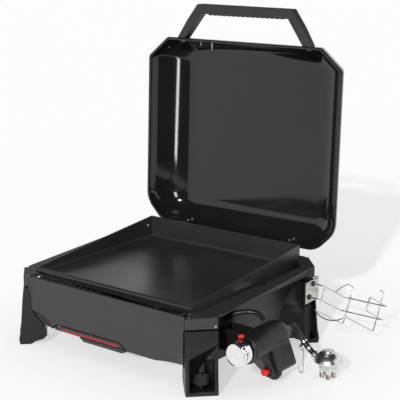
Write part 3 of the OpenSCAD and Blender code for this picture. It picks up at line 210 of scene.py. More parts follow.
SCUFF = (0.09, 0.09, 0.09)
FINISHES = {
    "lid_enamel": dict(
        color=(0.009, 0.009, 0.0095), rough=0.09, mottle=(3.0, 0.15),
        grain=(55.0, 0.05, 0.0004), rough_var=0.03, wear=((0.03, 0.03, 0.03), 0.2, 0.0015, 0.5),
    ),
    "black_plastic": dict(
        color=(0.009, 0.009, 0.0094), rough=0.4, ior=1.4, mottle=(14.0, 0.18),
        grain=(1700.0, 0.3, 0.00015), rough_var=0.07, wear=(SCUFF, 0.4, 0.0012, 0.35),
    ),
    "screw_steel": dict(
        color=(0.34, 0.34, 0.33), rough=0.34, metal=0.6, mottle=(300.0, 0.15),
        grain=(900.0, 0.2, 0.0001),
    ),
    "black_steel": dict(
        color=(0.012, 0.012, 0.012), rough=0.42, mottle=(18.0, 0.25),
        grain=(700.0, 0.2, 0.0002), wear=(SCUFF, 0.35, 0.001, 0.5),
    ),
    "plate_steel": dict(
        color=(0.021, 0.021, 0.0205), rough=0.34, mottle=(6.0, 0.2),
        grain=(420.0, 0.18, 0.0002), rough_var=0.05, wear=((0.12, 0.12, 0.118), 0.3, 0.0012, 0.8),
    ),
    "satin_plastic": dict(
        color=(0.024, 0.024, 0.0245), rough=0.5, mottle=(12.0, 0.14),
        grain=(1600.0, 0.35, 0.00016), wear=(SCUFF, 0.42, 0.0014, 0.5),
    ),
    "body_paint": dict(
        color=(0.026, 0.026, 0.026), rough=0.48, mottle=(8.0, 0.12),
        grain=(1200.0, 0.3, 0.00018), wear=(SCUFF, 0.4, 0.001, 0.4),
    ),
    "galvanised": dict(
        color=(0.24, 0.24, 0.24), rough=0.42, metal=0.85, mottle=(90.0, 0.25),
        grain=(500.0, 0.2, 0.0001), rough_var=0.1,
    ),
    "stainless": dict(
        color=(0.45, 0.45, 0.44), rough=0.32, metal=1.0, mottle=(40.0, 0.15),
        grain=(1800.0, 0.2, 0.0001), stretch=(0.06, 1, 1),
    ),
    "brass": dict(
        color=(0.6, 0.42, 0.16), rough=0.3, metal=1.0, mottle=(150.0, 0.2),
        grain=(800.0, 0.2, 0.0001),
    ),
    "ceramic": dict(
        color=(0.72, 0.7, 0.66), rough=0.35, mottle=(200.0, 0.06), grain=(900.0, 0.15, 0.0001),
    ),
    "rubber": dict(
        color=(0.006, 0.006, 0.006), rough=0.42, ior=1.38, mottle=(60.0, 0.25),
        grain=(900.0, 0.3, 0.0002), sheen=0.02,
    ),
    "red_plastic": dict(
        color=(0.62, 0.008, 0.012), rough=0.3, mottle=(40.0, 0.1), grain=(900.0, 0.15, 0.0001),
        wear=((0.8, 0.08, 0.07), 0.35, 0.0008, 0.5),
    ),
    "gloss_black": dict(
        color=(0.008, 0.008, 0.008), rough=0.14, mottle=(30.0, 0.15), grain=(300.0, 0.06, 0.0002),
    ),
    "chrome": dict(
        color=(0.86, 0.86, 0.86), rough=0.12, metal=1.0, mottle=(60.0, 0.05),
        grain=(400.0, 0.05, 0.0001), rough_var=0.04,
    ),
    "cast_alloy": dict(
        color=(0.72, 0.72, 0.71), rough=0.27, metal=1.0, mottle=(80.0, 0.15),
        grain=(700.0, 0.3, 0.0002), rough_var=0.08,
    ),
    "wire_steel": dict(
        color=(0.55, 0.55, 0.54), rough=0.2, metal=1.0, mottle=(120.0, 0.12),
        grain=(900.0, 0.1, 0.0001),
    ),
}

M = {name: finish_material(name, **finish) for name, finish in FINISHES.items()}

for node_object in NODES.values():
    for material_slot in node_object.material_slots:
        given = material_slot.material.name.split(".")[0] if material_slot.material else ""
        if given in M:
            material_slot.material = M[given]
            node_object["slot_name"] = given

# Mesh helpers

# Degrees between faces from which an edge stays sharp, on turned and on moulded pieces
TURNED_SHARP, MOULDED_SHARP = 28, 50


def in_scene(name, data, body, replaced):
    """An object on the body it rides on, standing for the nodes it replaces, if any."""
    o = bpy.data.objects.new(name, data)
    bpy.context.scene.collection.objects.link(o)
    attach(o, body)
    if replaced:
        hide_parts(*replaced)
    return o


def new_object(name, mesh, mat, body, *replaced):
    """A smooth-shaded piece. A mesh that has its own finish already keeps it."""
    if not mesh.materials:
        mesh.materials.append(M[mat])
    mesh.polygons.foreach_set("use_smooth", [True] * len(mesh.polygons))
    return in_scene(name, mesh, body, replaced)


def apply_modifiers(o):
    dg = bpy.context.evaluated_depsgraph_get()
    mesh = bpy.data.meshes.new_from_object(o.evaluated_get(dg))
    o.modifiers.clear()
    o.data = mesh


def sharp_by_angle(o, degrees):
    o.data.set_sharp_from_angle(angle=math.radians(degrees))


def rounded(o, width, segments=3, angle=32):
    """Rounds the sharp edges and evens the shading."""
    bevel = o.modifiers.new("edge", "BEVEL")
    bevel.width = width
    bevel.segments = segments
    bevel.limit_method = "ANGLE"
    bevel.angle_limit = math.radians(angle)
    bevel.harden_normals = False
    bevel.miter_outer = "MITER_ARC"
    bevel.use_clamp_overlap = True
    o.modifiers.new("normals", "WEIGHTED_NORMAL").keep_sharp = True
    apply_modifiers(o)
    return o


def dress(node, width, finish=None):
    """The node's form with every edge rounded, as its moulding or folding leaves it."""
    source = NODES[node]
    bm = bmesh.new()
    bm.from_mesh(source.data)
    bmesh.ops.remove_doubles(bm, verts=bm.verts, dist=1e-6)
    bmesh.ops.dissolve_limit(
        bm,
        angle_limit=math.radians(1.0),
        verts=bm.verts,
        edges=bm.edges,
        use_dissolve_boundaries=False,
    )
    bmesh.ops.recalc_face_normals(bm, faces=bm.faces)
    mesh = bpy.data.meshes.new(node + "_form")
    bm.to_mesh(mesh)
    bm.free()
    if finish:
        mesh.materials.append(finish)
    o = new_object("v_" + node, mesh, source["slot_name"], source["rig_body"], node)
    return rounded(o, width)


def tube(name, pts, r, mat, body, *replaced, closed=False, kind="POLY"):
    """A round bar of radius r in metres: straight from point to point, or bent if BEZIER."""
    curve = bpy.data.curves.new(name, "CURVE")
    curve.dimensions = "3D"
    curve.bevel_depth = r
    curve.bevel_resolution = 4
    curve.use_fill_caps = True
    curve.resolution_u = 6
    spline = curve.splines.new(kind)
    if kind == "BEZIER":
        spline.bezier_points.add(len(pts) - 1)
        for bp, p in zip(spline.bezier_points, pts):
            bp.co = p
            bp.handle_left_type = bp.handle_right_type = "AUTO"
    else:
        spline.points.add(len(pts) - 1)
        for sp, p in zip(spline.points, pts):
            sp.co = (*p, 1)
    spline.use_cyclic_u = closed
    curve.materials.append(M[mat])
    return in_scene(name, curve, body, replaced)


def circle(steps):
    """The angles of points spread evenly round a circle."""
    return [2 * math.pi * k / steps for k in range(steps)]


def frame_of(origin, axis):
    """A matrix whose Z runs along the axis, from a point."""
    z = Vector(axis).normalized()
    x = Vector((0, 0, 1)).cross(z)
    if x.length < 1e-6:
        x = Vector((1, 0, 0))
    x.normalize()
    y = z.cross(x)
    m = Matrix((x, y, z)).transposed().to_4x4()
    m.translation = origin
    return m


def skin(rings, capped=True):
    """Closed rings of points joined one to the next."""
    bm = bmesh.new()
    vs = [[bm.verts.new(p) for p in ring] for ring in rings]
    n = len(rings[0])
    for a, b in zip(vs, vs[1:]):
        for k in range(n):
            bm.faces.new((a[k], a[(k + 1) % n], b[(k + 1) % n], b[k]))
    if capped:
        bm.faces.new(list(reversed(vs[0])))
        bm.faces.new(vs[-1])
    bmesh.ops.recalc_face_normals(bm, faces=bm.faces)
    mesh = bpy.data.meshes.new("skin")
    bm.to_mesh(mesh)
    bm.free()
    return mesh


def lathe(name, profile, origin, axis, mat, body, *replaced, steps=64, bump=None):
    """Turns (radius, height) in millimetres round an axis.

    bump(ring, angle, radius), if given, returns the radius to use there.
    """
    m = frame_of(origin, axis)
    rings = []
    for i, (r, h) in enumerate(profile):
        ring = []
        for a in circle(steps):
            rr = bump(i, a, r) if bump else r
            ring.append(m @ (Vector((rr * math.cos(a), rr * math.sin(a), h)) / 1000))
        rings.append(ring)
    o = new_object(name, skin(rings), mat, body, *replaced)
    sharp_by_angle(o, TURNED_SHARP)
    return o


def catmull_rom(a, b, c, d, t):
    return 0.5 * (
        2 * b + (c - a) * t + (2 * a - 5 * b + 4 * c - d) * t * t
        + (3 * b - a - 3 * c + d) * t ** 3
    )


def smooth_keys(keys, steps=4):
    """A smooth curve through rows of numbers."""
    out = []
    last = len(keys) - 1
    for i in range(last):
        rows = keys[max(i - 1, 0)], keys[i], keys[i + 1], keys[min(i + 2, last)]
        for k in range(steps):
            out.append([catmull_rom(*numbers, k / steps) for numbers in zip(*rows)])
    out.append(list(keys[-1]))
    return out


def along_y(name, outline, y0, y1, mat, body, bevel, *replaced):
    """A moulded block: an (x, z) outline from y0 back to y1, which may be functions of z."""
    rings = []
    for y in (y0, y1):
        rings.append([P(x, y(z) if callable(y) else y, z) for x, z in outline])
    return rounded(new_object(name, skin(rings), mat, body, *replaced), bevel, 4, 40)


# Hose, the one cord, drawn as a bent tube on the base

HOSE = [
    (331, -11, 101), (332, -5, 104.5), (333.5, 1, 106.3), (335.5, 7, 106), (338, 12, 103),
    (341.3, 15.2, 98.5), (345, 16.8, 93), (349, 17.8, 87.3), (353, 18.4, 81.5), (357.2, 18.8, 76),
    (361.6, 19, 71), (366, 19.2, 66.3), (370.4, 19.4, 62), (374.8, 19.5, 58.2), (379.1, 19.5, 54.8),
    (383.4, 19.4, 51.8), (387.6, 19.3, 49.2),
]
HOSE_R = 0.0062
hose = tube("v_hose", [P(*p) for p in HOSE], HOSE_R, "rubber", "base", "hose", kind="BEZIER")

# Lid

# Width, length, the height of the straight band, the wall's radius, the sheet's thickness, the
# lean in degrees, and how far the rim lies from the hinge line
LID = {
    "w": 571.0, "l": 476.0, "band": 20.0, "r": 60.0, "t": 1.6, "lean": 2.0, "drop": 7.7,
    "out": 13.3,
}
DECK_FRONT_Z, DECK_SLOPE, HINGE_FROM_FRONT, LID_GAP = 162.5, 3.1, 476, 0.6
# The hinge line's y and z
HINGE = (
    252.0,
    DECK_FRONT_Z + HINGE_FROM_FRONT * math.tan(math.radians(DECK_SLOPE)) + LID_GAP - LID["drop"],
)


def lid_point(x, w, l):
    """A point of the open lid: across, deep from the rim, and long from the hinge wall."""
    c, s = math.cos(math.radians(LID["lean"])), math.sin(math.radians(LID["lean"]))
    y, z = w + LID["drop"], l + LID["out"]
    return P(x, HINGE[0] + y * c + z * s, HINGE[1] - y * s + z * c)


def inset_edges(pts, depths):
    """The outline with each edge moved in by its own distance; edge i starts at point i."""
    out = []
    n = len(pts)
    for i in range(n):
        p, q, r = Vector(pts[i - 1]), Vector(pts[i]), Vector(pts[(i + 1) % n])
        a, b = (q - p).normalized(), (r - q).normalized()
        na, nb = Vector((a.y, -a.x)), Vector((b.y, -b.x))
        ca, cb = na.dot(q) - depths[i - 1], nb.dot(q) - depths[i]
        det = na.x * nb.y - na.y * nb.x
        out.append(Vector(((ca * nb.y - cb * na.y) / det, (na.x * cb - nb.x * ca) / det)))
    return out


def round_outline(pts, radii):
    """The outline with each corner as an arc of its own radius."""
    steps = 8
    longest = 0.46  # the most of an edge that one corner may take
    out = []
    n = len(pts)
    for i in range(n):
        p, q, r = pts[i - 1], pts[i], pts[(i + 1) % n]
        u, v = (p - q).normalized(), (r - q).normalized()
        half = math.acos(max(-1, min(1, u.dot(v)))) / 2
        rad = radii[i]
        reach = min(rad / math.tan(half), longest * (p - q).length, longest * (r - q).length)
        rad = reach * math.tan(half)
        centre = q + (u + v).normalized() * (rad / math.sin(half))
        a0 = q + u * reach - centre
        a1 = q + v * reach - centre
        ang0 = math.atan2(a0.y, a0.x)
        turn = math.atan2(a0.x * a1.y - a0.y * a1.x, a0.dot(a1))
        for k in range(steps + 1):
            a = ang0 + turn * k / steps
            out.append(centre + rad * Vector((math.cos(a), math.sin(a))))
    return out


def lid_mesh():
    """The pressed lid: steep walls at the hinge and the handle, dished ones at the sides."""
    half, length = LID["w"] / 2, LID["l"]
    # how much the corners cut off the hinge edge, the sides and the handle's edge
    hinge_cut, side_cut, front_cut = 51, 50, 60
    base = [
        (-half + hinge_cut, 0), (half - hinge_cut, 0), (half, hinge_cut), (half, length - side_cut),
        (half - front_cut, length), (-half + front_cut, length), (-half, length - side_cut),
        (-half, hinge_cut),
    ]
    # how much each edge takes the side wall's form, from the hinge edge round
    side = [0, 0.5, 1, 0.5, 0, 0.5, 1, 0.5]
    radii = [58, 58, 58, 14, 14, 14, 14, 58]
    tightening, tightest = 0.42, 12  # how the corners' radii shrink with the inset
    band, r, t = LID["band"], LID["r"], LID["t"]
    side_reach, side_band, straight = 95.0, 4.0, 0.3
    steps = 26

    def dished(w, reach, height):
        u = max(0.0, min(1.0, (w - side_band) / (height - side_band)))
        return reach * (straight * u + (1 - straight) * (1 - math.sqrt(max(0.0, 1 - u * u))))

    def outside(w):
        return dished(w, side_reach, band + r)

    def inside(w):
        return t + dished(w, side_reach - t, band + r - t)

    # (inset at the steep walls, inset at the sides, depth from the rim), from the outside in
    path = []
    for k in range(steps, -1, -1):
        a = math.radians(90 * k / steps)
        w = band + r * math.sin(a)
        path.append((r * (1 - math.cos(a)), outside(w), w))
    path.append((0, outside(8), 8))
    rim = [
        (0, 2.2), (0.3, 1.0), (0.9, 0.3), (1.8, 0.05), (5.2, 0.05), (6.2, 0.3), (6.8, 1.0),
        (7, 2.0), (7, 3.6), (6.7, 4.5), (6, 4.95), (3.6, 5.0),
    ]
    path += [(d, d, w) for d, w in rim]
    path += [(d, max(d, inside(w)), w) for d, w in ((2.2, 5.3), (1.7, 6.4), (t, 9))]
    for k in range(steps + 1):
        a = math.radians(90 * k / steps)
        w = band + (r - t) * math.sin(a)
        path.append((t + (r - t) * (1 - math.cos(a)), inside(w), w))
    rings = []
    for steep, shallow, w in path:
        depths = [steep + (shallow - steep) * m for m in side]
        corner_radii = [max(q - tightening * d, tightest) for q, d in zip(radii, depths)]
        pts = round_outline(inset_edges(base, depths), corner_radii)
        rings.append([lid_point(p.x, w, p.y) for p in pts])
    return skin(rings)


lid = new_object("v_lid", lid_mesh(), "lid_enamel", "lid", "lid_shell")
lid.modifiers.new("normals", "WEIGHTED_NORMAL").weight = 80
apply_modifiers(lid)


def handle_outline():
    """The front face of the grip bracket, (x, z), with scallops under the grip."""
    pts = [
        (-196.5, 0), (-168.5, 43), (-136.5, 84.4), (-134.5, 85.3), (136.5, 83.2), (138.5, 82.4),
        (168.5, 42), (194.4, 0), (173.6, 0), (130.6, 60), (127, 62.2),
    ]
    scallops, first, last = 16, 113.0, -96.0
    for k in range(scallops):
        x = first + (last - first) * k / (scallops - 1)
        for a in range(0, 181, 30):
            c, n = math.cos(math.radians(a)), math.sin(math.radians(a))
            pts.append((x + 4.6 * c, 61.6 - 2.8 * n))
    pts += [(-119, 62.5), (-126, 60), (-173, 0)]
    return list(reversed(pts))


def bracket_handle():
    foot, front, back, lean = 669.0, 280.5, 305.0, 0.035
    rings = []
    for y in (front, back):
        rings.append([P(x, y + lean * z, foot + z) for x, z in handle_outline()])
    o = new_object("v_lid_handle", skin(rings), "satin_plastic", "lid", "lid_handle")
    rounded(o, 0.0022, 4, 45)


bracket_handle()

# Body

# Radius of the rounded edges, in metres
EDGES = {
    "shoulder": 0.0011, "front_panel": 0.0008, "side_panels": 0.0008, "rear_panel": 0.0007,
    "leg_front_right": 0.0014, "leg_front_left": 0.0014, "leg_rear_right": 0.0014,
    "leg_rear_left": 0.0014, "leveler_screw_right": 0.0005, "leveler_screw_left": 0.0005,
    "grease_tray": 0.0006, "vent_strip": 0.0004, "cylinder_bracket": 0.0005,
    "base_hinge_brackets": 0.0006, "housing_arm": 0.0012, "index_tab": 0.0014,
    "griddle_plate": 0.0010,
}
for node, width in EDGES.items():
    dress(node, width)
STRIPE = finish_material(
    "stripe_red", (0.27, 0.018, 0.02), 0.4, mottle=(40.0, 0.14), grain=(900.0, 0.25, 0.00012),
    wear=((0.4, 0.08, 0.07), 0.45, 0.0008, 0.4),
)
dress("tray_stripe", 0.0009, STRIPE)

# The dark face round the stripe, and a black plate behind the left end of the panel's cut-out:
# painted shade, which keeps the cut-out as dark as the shaded inside of the body
along_y(
    "v_tray_fascia", [(-151, 52.4), (61, 52.4), (40, 64.4), (-132, 64.4)], -217.4, -215.6,
    "gloss_black", "tray", 0.0004,
)
along_y(
    "v_cutout_shade_plate", [(-186, 47.4), (-151.9, 47.4), (-151.9, 72), (-186, 72)], -207.4, -205.4,
    "black_plastic", "base", 0.0003,
)

# Painted shadow: thin near-black strips on the front panel, (x, z), where the creases at the legs
# and over the tray fall into shade
PAINTED_SHADOW_LINES = {
    "left": (
        (-225.4, 128), (-222.3, 109), (-220, 85.4), (-209.3, 75.7), (-193.7, 64.7), (-178, 55),
    ),
    "right": ((225.4, 133), (225.4, 115), (225, 93.6), (225.2, 67.5), (225.4, 54)),
    "tray": ((-156, 55.2), (-138.5, 66.6), (47, 66.6), (67, 55.2)),
}
SHADOW_LINE_Y, SHADOW_LINE_R = -223.7, 0.0013
# A near-black finish that hardly reflects: the painted shadow of those strips
SHADOW = finish_material(
    "painted_shadow_black", (0.002, 0.002, 0.002), 0.85, ior=1.08, mottle=(14.0, 0.2),
    grain=(900.0, 0.2, 0.0001),
)
for word, line in PAINTED_SHADOW_LINES.items():
    shadow_line = tube("v_painted_shadow_" + word, [P(x, SHADOW_LINE_Y, z) for x, z in line], SHADOW_LINE_R, "gloss_black", "base")
    shadow_line.data.materials[0] = SHADOW

# A darker, duller copy of the black plastic: painted shade for the rear legs' recessed flanks
FLANK_PAINTED_SHADE = finish_material(
    "flank_black_painted_shade", (0.006, 0.006, 0.006), 0.6, ior=1.3, mottle=(14.0, 0.2),
    grain=(1500.0, 0.3, 0.00015),
)


def leg_flare(side, word):
    """The hollow flank by which each rear leg runs into the side panel."""
    # its front edge, (y, z), on the side panel and on the leg
    inner = smooth_keys([
        (129, 158), (128, 140), (126, 121), (120, 104), (97, 88), (101, 70), (114, 44), (130, 27),
        (146, 16), (149, 12),
    ], 3)
    outer = smooth_keys([
        (132, 158), (133, 140), (134, 121), (135, 104), (136, 88), (137, 70), (139, 44), (141, 27),
        (144, 16), (149, 13),
    ], 3)
    back = [(150, 20), (150, 100), (138.5, 101), (138.5, 158)]
    x0, x1, hollow = 240, 288, 9
    rings = []
    for x in (x0, 250, 258, 266, 274, 281, 286, x1):
        t = (x - x0) / (x1 - x0)
        sag = hollow * math.sin(math.pi * t)
        ring = [(a[0] + (b[0] - a[0]) * t + sag, a[1] + (b[1] - a[1]) * t)
                for a, b in zip(inner, outer)]
        rings.append([P(side * x, y, z) for y, z in ring + back])
    mesh = skin(rings)
    # The flank takes the painted-shade copy of the black plastic
    mesh.materials.append(FLANK_PAINTED_SHADE)
    sharp_by_angle(new_object("v_leg_flare_" + word, mesh, "black_plastic", "base"), MOULDED_SHARP)


leg_flare(1, "right")
leg_flare(-1, "left")

# Valve housing

# The middle of the knob's face
KX, KY, KZ = 335.0, -196.0, 98.5


def hull_of_discs(discs, steps=10):
    """Outline round discs (x, z, radius), given in turn anticlockwise."""
    out = []
    n = len(discs)
    for i in range(n):
        x, z, r = discs[i]
        px, pz, _ = discs[i - 1]
        nx, nz, _ = discs[(i + 1) % n]
        a0 = math.atan2(z - pz, x - px) - math.pi / 2
        a1 = math.atan2(nz - z, nx - x) - math.pi / 2
        while a1 < a0:
            a1 += 2 * math.pi
        for k in range(steps + 1):
            a = a0 + (a1 - a0) * k / steps
            out.append((x + r * math.cos(a), z + r * math.sin(a)))
    return out


def barrel_mesh():
    # distance behind the knob's face, rise of the middle, radius
    keys = [
        (35.5, 0, 27.5), (36.2, 0, 28.7), (38.5, 0.3, 29.6), (50, 1.2, 30), (64, 2.6, 30.6),
        (90, 4.2, 31), (120, 4.6, 31), (142, 4.2, 30.8), (150, 3.8, 29.6), (158, 3, 27),
        (166, 2, 22.6), (173, 1.4, 18.4), (180, 1, 15.6), (185.2, 1, 14.4), (186, 1, 13),
    ]
    out = []
    for y, dz, r in smooth_keys(keys):
        out.append([P(KX + r * math.cos(a), KY + y, KZ + dz + r * math.sin(a)) for a in circle(72)])
    return skin(out)


def slope(start, travel, z0, height):
    """The y of a face that runs from start by travel as z goes from z0 by height."""
    return lambda z: start + travel * max(0, min(1, (z - z0) / height))


barrel = new_object("v_barrel", barrel_mesh(), "black_plastic", "base", "valve_housing")
sharp_by_angle(barrel, MOULDED_SHARP)
# The middle of the igniter's box, across
BX = KX + 8
along_y(
    "v_igniter_box",
    hull_of_discs([(BX - 10, 36, 12), (BX + 7, 38, 14), (BX + 9, 84, 12), (BX - 24, 92, 10)]),
    KY + 124, slope(KY + 160, 29, 90, -60), "black_plastic", "base", 0.006,
)
along_y(
    "v_igniter_neck",
    hull_of_discs([(BX + 3, 40, 14), (BX + 6, 92, 7), (BX - 22, 92, 7), (BX - 8, 40, 13)]),
    slope(KY + 104, -58, 52, 44), KY + 128, "black_plastic", "base", 0.004,
)
# The middle of the igniter boss's face
IX, IY, IZ = KX + 12, KY + 98, 37.5
along_y(
    "v_igniter_flange",
    hull_of_discs([(IX + 2, 31.5, 18.6), (IX + 4, 78, 15), (IX - 7, 78, 15)], steps=18),
    slope(KY + 113, -20, 40, 40), KY + 125, "black_plastic", "base", 0.003,
)
lathe(
    "v_igniter_boss",
    [(8.2, 12), (8.2, 0.6), (8.8, 0), (12.6, 0), (14, 0.6), (14.6, 2), (15.4, 18)],
    P(IX, IY, IZ), (0, 1, 0), "black_plastic", "base",
)
lathe(
    "v_igniter_button",
    [(5.0, 0), (6.0, 0.25), (6.8, 1.0), (7.2, 2.4), (7.4, 10), (7.4, 16)],
    P(IX, IY - 15, IZ), (0, 1, 0), "red_plastic", "igniter", "igniter_button",
)

# Knob

KNURLS, KNURL_DEPTH = 18, 1.1
# The rings of the knob's profile that are knurled, where their radius is above the crest's
FIRST_KNURLED, LAST_KNURLED, CREST = 8, 11, 23.8


def knurl(i, a, r):
    if r > CREST and FIRST_KNURLED <= i <= LAST_KNURLED:
        return r - KNURL_DEPTH * (0.5 - 0.5 * math.cos(a * KNURLS)) ** 3
    return r


lathe(
    "v_knob",
    [(0.01, 0.6), (19.6, 0.6), (20.3, 0.6), (20.9, 0.5), (21.4, 0.35), (22.4, 0.0), (23.4, 0.25),
     (24.2, 0.9), (24.9, 2.2), (25, 7.6), (24.6, 8.3), (22.6, 8.9), (22.5, 13), (24.4, 13.9),
     (25, 14.6), (25, 24.2), (24.4, 25)],
    P(KX, KY, KZ), (0, 1, 0), "chrome", "knob", "knob", steps=108, bump=knurl,
)
GROOVE_R = 22.95
groove = [[P(KX + GROOVE_R * math.cos(a), KY + y, KZ + GROOVE_R * math.sin(a)) for a in circle(96)]
          for y in (8.95, 12.95)]
new_object("v_knob_groove", skin(groove, capped=False), "gloss_black", "knob")
lathe(
    "v_knob_collar",
    [(24, 0), (26.6, 0.2), (27.3, 0.9), (27.5, 2), (27.5, 6), (26.8, 7)],
    P(KX, KY + 28.5, KZ), (0, 1, 0), "gloss_black", "base", "knob_collar",
)

# Gas parts

TUBE = [
    (260, -110, 143), (264, -112, 148), (270, -111, 151), (280, -105, 153), (288, -99, 154.5),
    (295, -94, 155), (303, -90, 154.5), (310, -86, 152.5), (316, -82, 149), (320, -79, 144.5),
    (322, -78, 139),
]
TUBE_R = 0.0056
tube("v_gas_tube", [P(*p) for p in TUBE], TUBE_R, "rubber", "base", "gas_tube", kind="BEZIER")


def hose_dir(i):
    """Which way the hose runs at its point i."""
    return (P(*HOSE[min(i + 1, len(HOSE) - 1)]) - P(*HOSE[max(i - 1, 0)])).normalized()


lathe(
    "v_hose_gland",
    [(6.25, -2.6), (9.2, -2.6), (9.2, 0.6), (8.9, 1.2), (8.0, 3.4), (7.2, 4.2), (6.25, 4.2)],
    P(331, -11.5, 101), (0, 1, 0), "rubber", "base", "hose_gland",
)
# The hose's point that the band lies round
BAND_AT = 13
lathe(
    "v_hose_band",
    [(6.3, -3.0), (7.1, -3.0), (7.4, -2.6), (7.4, 2.6), (7.1, 3.0), (6.3, 3.0)],
    P(*HOSE[BAND_AT]), hose_dir(BAND_AT), "screw_steel", "base", "hose_band",
)
# The foot of the regulator's axis
REG = (422.0, 21.3, 0.0)
lathe(
    "v_reg_dome",
    [(18.1, 22.0), (18.3, 23), (18.3, 36.6), (19.2, 37.4), (26.6, 38.4), (30.2, 39.4),
     (31.2, 40.2), (31.4, 41.4), (31.2, 43), (30.3, 46), (28.6, 49.2), (25.6, 52.9), (22, 56),
     (17.6, 59), (13.3, 61.2), (12.9, 62), (0.01, 62)],
    P(*REG), (0, 0, 1), "cast_alloy", "base", "regulator_body", steps=96,
)
lathe(
    "v_reg_cap",
    [(13.3, 61.4), (13.2, 62.6), (12.7, 63.9), (11.6, 64.8), (0.01, 65)],
    P(*REG), (0, 0, 1), "cast_alloy", "base", "regulator_disc",
)

# The collar's grip: how many hollows, how deep, and the radius above which they are cut
SCALLOPS, SCALLOP_DEPTH, COLLAR_CREST = 6, 2.6, 20.5


def scallop(i, a, r):
    if r < COLLAR_CREST:
        return r
    return r - SCALLOP_DEPTH * max(0.0, math.cos(a * SCALLOPS)) ** 3


lathe(
    "v_reg_collar",
    [(17, 28), (19.6, 28), (20.4, 28.6), (20.6, 29.6), (20.6, 35), (20.4, 36), (19.6, 36.6),
     (17, 36.6)],
    P(*REG), (0, 0, 1), "cast_alloy", "base", "regulator_collar", steps=96, bump=scallop,
)
# Four ribbed feet under the collar: the first one's angle, how far out, their ribs' count and pitch
FEET_FIRST, FEET_OUT, RIBS, RIB_PITCH = 35, 12.5, 6, 1.9
FOOT = [(4.6, 4.2), (5.4, 4.4)]
for rib in range(RIBS):
    FOOT += [(5.9, 5.0 + rib * RIB_PITCH), (5.2, 5.95 + rib * RIB_PITCH)]
FOOT += [(5.2, 16.6), (6.2, 17.0), (6.4, 17.6), (6.4, 27.0), (6.0, 29.0)]
for k in range(4):
    a = math.radians(FEET_FIRST + 90 * k)
    c = P(REG[0] + FEET_OUT * math.cos(a), REG[1] + FEET_OUT * math.sin(a), 0)
    lathe(f"v_reg_foot{k}", FOOT, c, (0, 0, 1), "cast_alloy", "base", steps=28)
lathe(
    "v_reg_core",
    [(1.6, 0.2), (2, 1), (2, 5), (5, 6), (5.6, 8), (5.6, 20), (16, 21), (17.6, 22.4), (17.6, 23)],
    P(*REG), (0, 0, 1), "brass", "base", steps=40,
)
lathe(
    "v_reg_inlet",
    [(6.25, -0.2), (9.6, 0), (10.2, 0.6), (10.2, 2.6), (9.6, 3.1), (8.2, 3.4), (8.2, 13.6),
     (7.6, 14)],
    P(*HOSE[-1]), hose_dir(len(HOSE) - 1), "cast_alloy", "base", "regulator_inlet", steps=36,
)

# Wires


def bends(pts, r):
    """The route with each inner corner bent to a radius, in millimetres."""
    steps = 6
    straight = 0.02  # a turn too small to bend, in radians
    pts = [Vector(p) for p in pts]
    out = [pts[0]]
    for a, b, c in zip(pts, pts[1:], pts[2:]):
        u, v = (a - b).normalized(), (c - b).normalized()
        turn = math.pi - math.acos(max(-1, min(1, u.dot(v))))
        if turn < straight:
            out.append(b)
            continue
        inward, along = (u + v).normalized(), (v - u).normalized()
        centre = b + inward * (r / math.cos(turn / 2))
        for k in range(steps + 1):
            t = -turn / 2 + turn * k / steps
            out.append(centre - inward * (r * math.cos(t)) + along * (r * math.sin(t)))
    out.append(pts[-1])
    return out


TILT = math.radians(28.7)
# The upper grommet, and the cradle's own back and down
HOLE = Vector((286, 173, 147))
BACK = Vector((0, math.cos(TILT), -math.sin(TILT)))
DOWN = Vector((0, -math.sin(TILT), -math.cos(TILT)))


def cradle(x, back, down):
    return HOLE + Vector((x, 0, 0)) + BACK * back + DOWN * down


WIRE_R = 0.0015
# The two rails: how far inside the bracket they begin, how far they stand out from it, run back
# and cross over, how long their ends are, and the gap between them
ROOT, RAIL_OUT, RAIL_BACK, RAIL_CROSS, RAIL_END, RAIL_GAP = -1.9, 28, 106, 141, 94, 32
rails = bends([
    cradle(ROOT, 0, 0), cradle(RAIL_OUT, 0, 0), cradle(RAIL_OUT, RAIL_BACK, 0),
    cradle(RAIL_CROSS, RAIL_BACK, 0), cradle(RAIL_CROSS, RAIL_BACK - RAIL_END, 0),
    cradle(RAIL_CROSS, RAIL_BACK - RAIL_END, RAIL_GAP), cradle(RAIL_CROSS, RAIL_BACK, RAIL_GAP),
    cradle(RAIL_OUT, RAIL_BACK, RAIL_GAP), cradle(RAIL_OUT, 0, RAIL_GAP), cradle(ROOT, 0, RAIL_GAP),
], 5)
tube("v_cradle_rails", [P(*p) for p in rails], WIRE_R, "wire_steel", "base", "cradle_rails")
cross = [P(*cradle(RAIL_OUT, 7, 0)), P(*cradle(RAIL_OUT, 7, RAIL_GAP))]
tube("v_cradle_cross", cross, WIRE_R, "wire_steel", "base")
